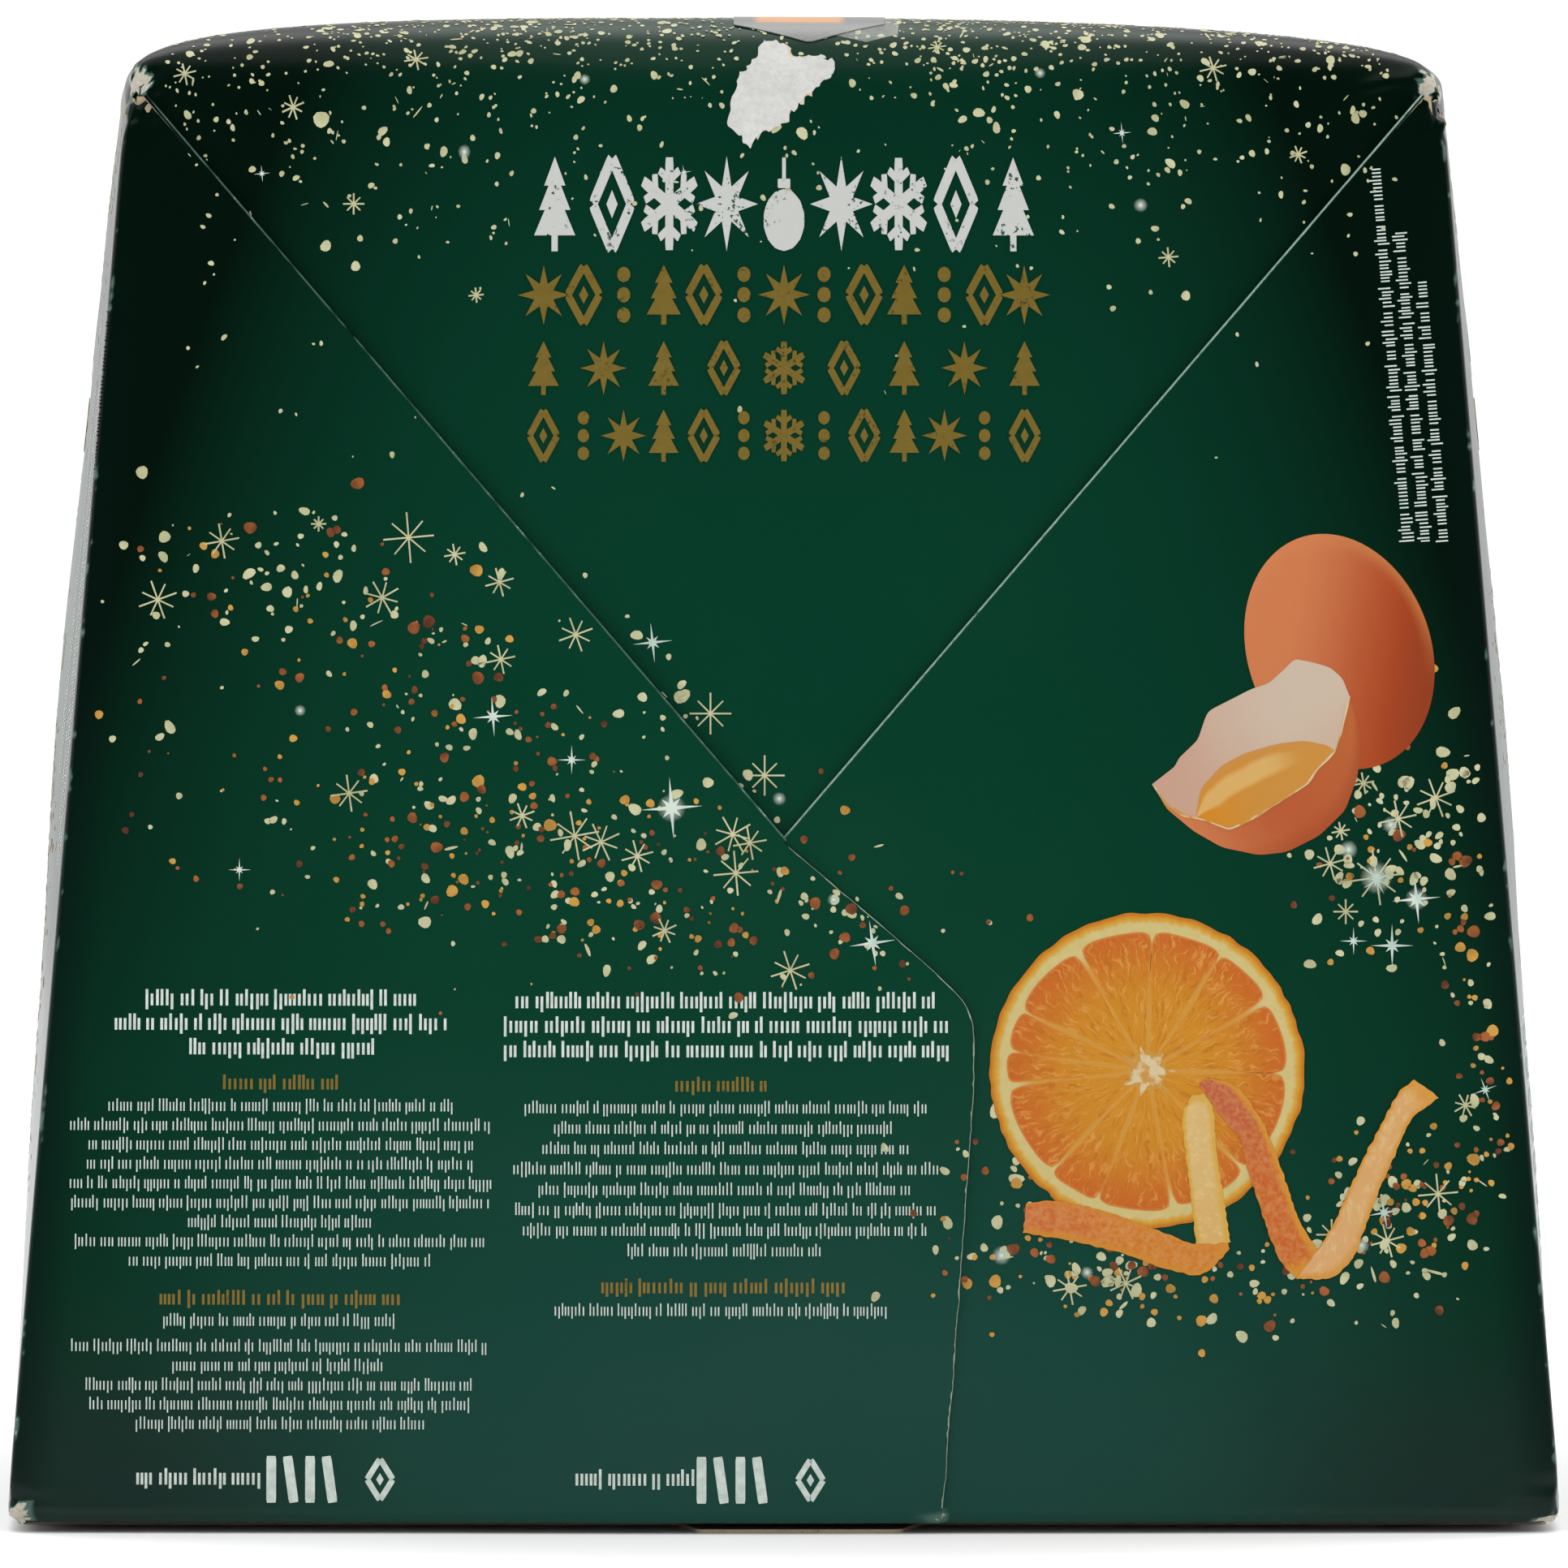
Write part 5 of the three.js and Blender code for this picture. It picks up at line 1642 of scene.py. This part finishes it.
def spun(name, radius, z, material, node, marks=None):
    """A closed surface of revolution: rows follow the profile, columns go once round it."""
    rows, columns = radius.shape
    turn = circle(columns)[None, :]
    points = np.stack(np.broadcast_arrays(radius * np.cos(turn), radius * np.sin(turn), z), -1)
    number = np.arange(rows * columns).reshape(rows, columns)
    beside = np.roll(number, -1, axis=1)
    quads = np.stack([number[:-1], beside[:-1], beside[1:], number[1:]], -1).reshape(-1, 4).tolist()
    faces = quads + [number[0, ::-1].tolist(), number[-1].tolist()]
    piece = make_mesh(name, points.reshape(-1, 3), faces, [material], marks=marks)
    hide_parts(node)
    return piece


def profile(knots, count):
    """Radius and height at even steps along a profile of straight runs."""
    knots = np.array(knots, float)
    length = np.append(0.0, np.cumsum(np.linalg.norm(np.diff(knots, axis=0), axis=1)))
    at = np.linspace(0.0, length[-1], count)
    return [np.interp(at, length, knots[:, axis])[:, None] for axis in (0, 1)]


def paint_crust(tree):
    point, (_, _, z) = place(tree)
    crumb = noise(point, 260.0, 5.0, 0.65)
    pore = noise(point, 900.0, 3.0)
    split = mark_value(tree, "split")
    bake = (z + crumb * 0.03).between(0.110, 0.165)
    body = bake.mix(colour(0.46, 0.20, 0.055), colour(0.13, 0.038, 0.009))
    body = crumb.between(0.55, 0.75).mix(body, colour(0.30, 0.11, 0.025))
    return {"Base Color": split.mix(body, colour(0.68, 0.42, 0.16)),
            "Roughness": 0.55 + pore * 0.2, "Normal": bump(point, crumb + pore * 0.3, 0.0012)}


def paint_mould(tree):
    point, (_, _, z) = place(tree)
    fibre = noise(point, 1100.0, 3.0)
    grease = noise(point, 42.0, 3.0).between(0.45, 0.65) * 0.35
    body = fibre.mix(colour(0.13, 0.055, 0.022), colour(0.20, 0.095, 0.040))
    stripe = (abs(z - 0.104).between(0.0014, 0.0018) * -1.0 + 1.0) * 0.8
    body = grease.mix(body, colour(0.09, 0.035, 0.012))
    return {"Base Color": stripe.mix(body, colour(0.52, 0.33, 0.09)), "Roughness": 0.8,
            "Normal": bump(point, fibre, 0.00006)}


def paint_film(tree):
    point, _ = place(tree)
    crinkle = noise(point, 120.0, 4.0, 0.6)
    return {"Base Color": colour(0.86, 0.88, 0.90), "Roughness": 0.08 + crinkle * 0.08,
            "Alpha": 0.16 + crinkle * 0.2, "Normal": bump(point, crinkle, 0.0006)}


def paint_tie(tree):
    point, _ = place(tree)
    brush = noise(point, 800.0, 2.0)
    return {"Base Color": brush.mix(colour(0.56, 0.36, 0.09), colour(0.72, 0.50, 0.16)),
            "Roughness": 0.3, "Metallic": 0.85}


low, high = node_box("panettone")
rim_z = node_box("paper_mould")[1][2]
cake_radius, crown_radius, cake_floor, cake_top = 81.0, high[0] - 0.4, low[2], high[2]
lean = np.radians(np.linspace(0.0, 88.0, 40))
crown = [(crown_radius * np.cos(a) ** 0.8, rim_z + 8.0 + (cake_top - rim_z - 9.0) * np.sin(a))
         for a in lean]
knots = [(0.4, cake_floor), (cake_radius - 3, cake_floor), (cake_radius, cake_floor + 3),
         (cake_radius, rim_z + 1.0), *crown, (0.4, cake_top - 1.0)]
radius, z = profile(knots, 150)
turn = circle(220)[None, :]
x, y = radius * np.cos(turn), radius * np.sin(turn)
above = smooth(rim_z, rim_z + 10.0, z)
wander = 3.0 * ripple(x, y, 0.0, 60.0, 121)
split = np.exp(-(((x + wander) / 2.4) ** 2)) + np.exp(-(((y - wander) / 2.4) ** 2))
split = np.clip(split, 0.0, 1.0) * smooth(cake_top - 26.0, cake_top - 6.0, z) * np.ones_like(x)
lumps = 0.7 * ripple(x, y, z, 26.0, 122) + 0.25 * ripple(x, y, z, 9.0, 123)
cake_z = z + above * (0.6 * lumps - 0.9) - 2.6 * split
cake_r = np.clip(radius + above * (0.5 * lumps - 0.6) * smooth(0.0, 10.0, radius), 0.2, None)
baked_crust = new_material("baked_crust", paint_crust)
spun("panettone", cake_r, cake_z, baked_crust, "panettone", {"split": split})

low, high = node_box("paper_mould")
mould_radius = high[0] - 0.05
knots = [(0.4, low[2]), (mould_radius, low[2]), (mould_radius, high[2]), (mould_radius - 0.35, high[2]),
         (mould_radius - 0.35, low[2] + 0.35), (0.4, low[2] + 0.35)]
radius, z = profile(knots, 120)
pleat = 0.5 - 0.5 * np.cos(circle(576)[None, :] * 72.0)
climb = smooth(low[2] + 1.0, low[2] + 9.0, z)
mould_r = radius - 0.45 * pleat * climb * smooth(60.0, 80.0, radius)
mould_paper = new_material("mould_paper", paint_mould)
spun("paper_mould", mould_r, z, mould_paper, "paper_mould")

low, high = node_box("inner_bag")
tie_low, tie_high = node_box("bag_tie")
neck_z, neck_radius, bag_radius = tie_low[2], tie_high[0] - 2.0, high[0]
lean = np.radians(np.linspace(0.0, 78.0, 30))
over = [(max(bag_radius * np.cos(a), 18.0), rim_z + 10.0 + (neck_z - 10.0 - rim_z - 10.0) * np.sin(a))
        for a in lean]
outside = [(0.4, low[2]), (bag_radius - 4, low[2]), (bag_radius, low[2] + 4), *over,
           (neck_radius + 3, neck_z - 4), (neck_radius, neck_z), (neck_radius, neck_z + 3),
           (neck_radius + 8, high[2])]
inside = [(max(r - 0.12, 0.4), z + (0.12 if z < low[2] + 4 else 0.0)) for r, z in outside[::-1]]
radius, z = profile(outside + inside, 260)
turn = circle(240)[None, :]
gather = smooth(rim_z - 20.0, neck_z - 8.0, z)
folds = np.sin(turn * 17.0 + 1.3 * np.sin(turn * 3.0)) + 0.5 * np.sin(turn * 29.0 + 0.8)
bag_r = radius * (1.0 - 0.045 * gather * (folds + 1.5)) * (1.0 - 0.004 * (1.0 + np.sin(turn * 11.0)))
spun("inner_bag", bag_r, z, new_material("bag_film", paint_film), "inner_bag")

tie_in, tie_out = tie_high[0] - 1.5, tie_high[0] - 0.05
section = np.linspace(0.0, 2.0 * np.pi, 20)[:, None]
thick, tall = (tie_out - tie_in) / 2.0, (tie_high[2] - tie_low[2]) / 2.0
across, upward = (np.sign(wave) * np.abs(wave) ** 0.4 for wave in (np.cos(section), np.sin(section)))
tie_r = np.repeat((tie_in + tie_out) / 2.0 + thick * across, 96, axis=1)
tie_z = (tie_low[2] + tie_high[2]) / 2.0 + tall * upward
spun("bag_tie", tie_r, tie_z, new_material("tie_band", paint_tie), "bag_tie")

# ------------------------------------------------------------------------------------------------
# Studio. A pale floor, a pale surround, two soft boxes at the sides and one overhead.
# ------------------------------------------------------------------------------------------------
CAMERA_FAR, EYE_Z, CAMERA_LENS = 1.30, 0.0965, 213.9
FLOOR_RADIUS = 6000.0
AIM = (0.0, 0.0, 0.1)


def paint_floor(tree):
    point, _ = place(tree)
    return {"Base Color": colour(0.97, 0.97, 0.97), "Roughness": 0.8 + noise(point, 6.0) * 0.1,
            "Specular IOR Level": 0.0}


def floor_disc():
    """A round pale table top a little under the carton's flat base."""
    angle = circle(96)
    ring = FLOOR_RADIUS * np.stack([np.cos(angle), np.sin(angle), np.zeros(96)], -1)
    mesh = bpy.data.meshes.new("floor")
    mesh.from_pydata((ring * MM).tolist(), [], [list(range(96))])
    mesh.materials.append(new_material("floor", paint_floor))
    disc = bpy.data.objects.new("floor", mesh)
    bpy.context.scene.collection.objects.link(disc)
    disc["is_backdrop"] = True


floor_disc()


def soft_box(name, place_at, size, power):
    """A rectangle of light, aimed at the carton's middle."""
    lamp = bpy.data.lights.new(name, "AREA")
    lamp.shape = "RECTANGLE"
    lamp.size, lamp.size_y = size
    lamp.energy = power
    holder = bpy.data.objects.new(name, lamp)
    bpy.context.scene.collection.objects.link(holder)
    way = np.array(AIM) - np.array(place_at)
    holder.location = place_at
    holder.rotation_euler = Vector(way).to_track_quat("-Z", "Y").to_euler()


soft_box("left_box", (-1.8, -0.5, 0.9), (0.8, 1.4), 5.0)
soft_box("right_box", (1.8, -0.5, 0.9), (0.8, 1.4), 5.0)
soft_box("top_box", (0.0, 0.2, 1.8), (1.6, 1.6), 8.0)

world = bpy.data.worlds.new("studio")
bpy.context.scene.world = world
world.use_nodes = True
tree = world.node_tree
sky = Shade(tree)
way = sky.node("TexCoord", output=0)
ahead = sky.node("SeparateXYZ", {0: way}, output=1)
bright = ahead.between(0.10, 0.40) * (3.0 - ahead.between(0.35, 0.85) * 2.0)
seen = sky.node("LightPath", output=0).most(sky.node("LightPath", output=2)) * 1.08
glow = seen.most(bright * 0.95 + 0.02)
tree.links.new(glow.socket, tree.nodes["Background"].inputs["Strength"])
tree.nodes["Background"].inputs["Color"].default_value = colour(1.0, 1.0, 1.0)

camera = bpy.data.objects.new("camera", bpy.data.cameras.new("camera"))
bpy.context.scene.collection.objects.link(camera)
camera.location = (0.0, -CAMERA_FAR, EYE_Z)
camera.rotation_euler = (np.pi / 2.0, 0.0, 0.0)
camera.data.lens = CAMERA_LENS
bpy.context.scene.camera = camera
bpy.context.scene.view_settings.view_transform = "Standard"

low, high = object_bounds()
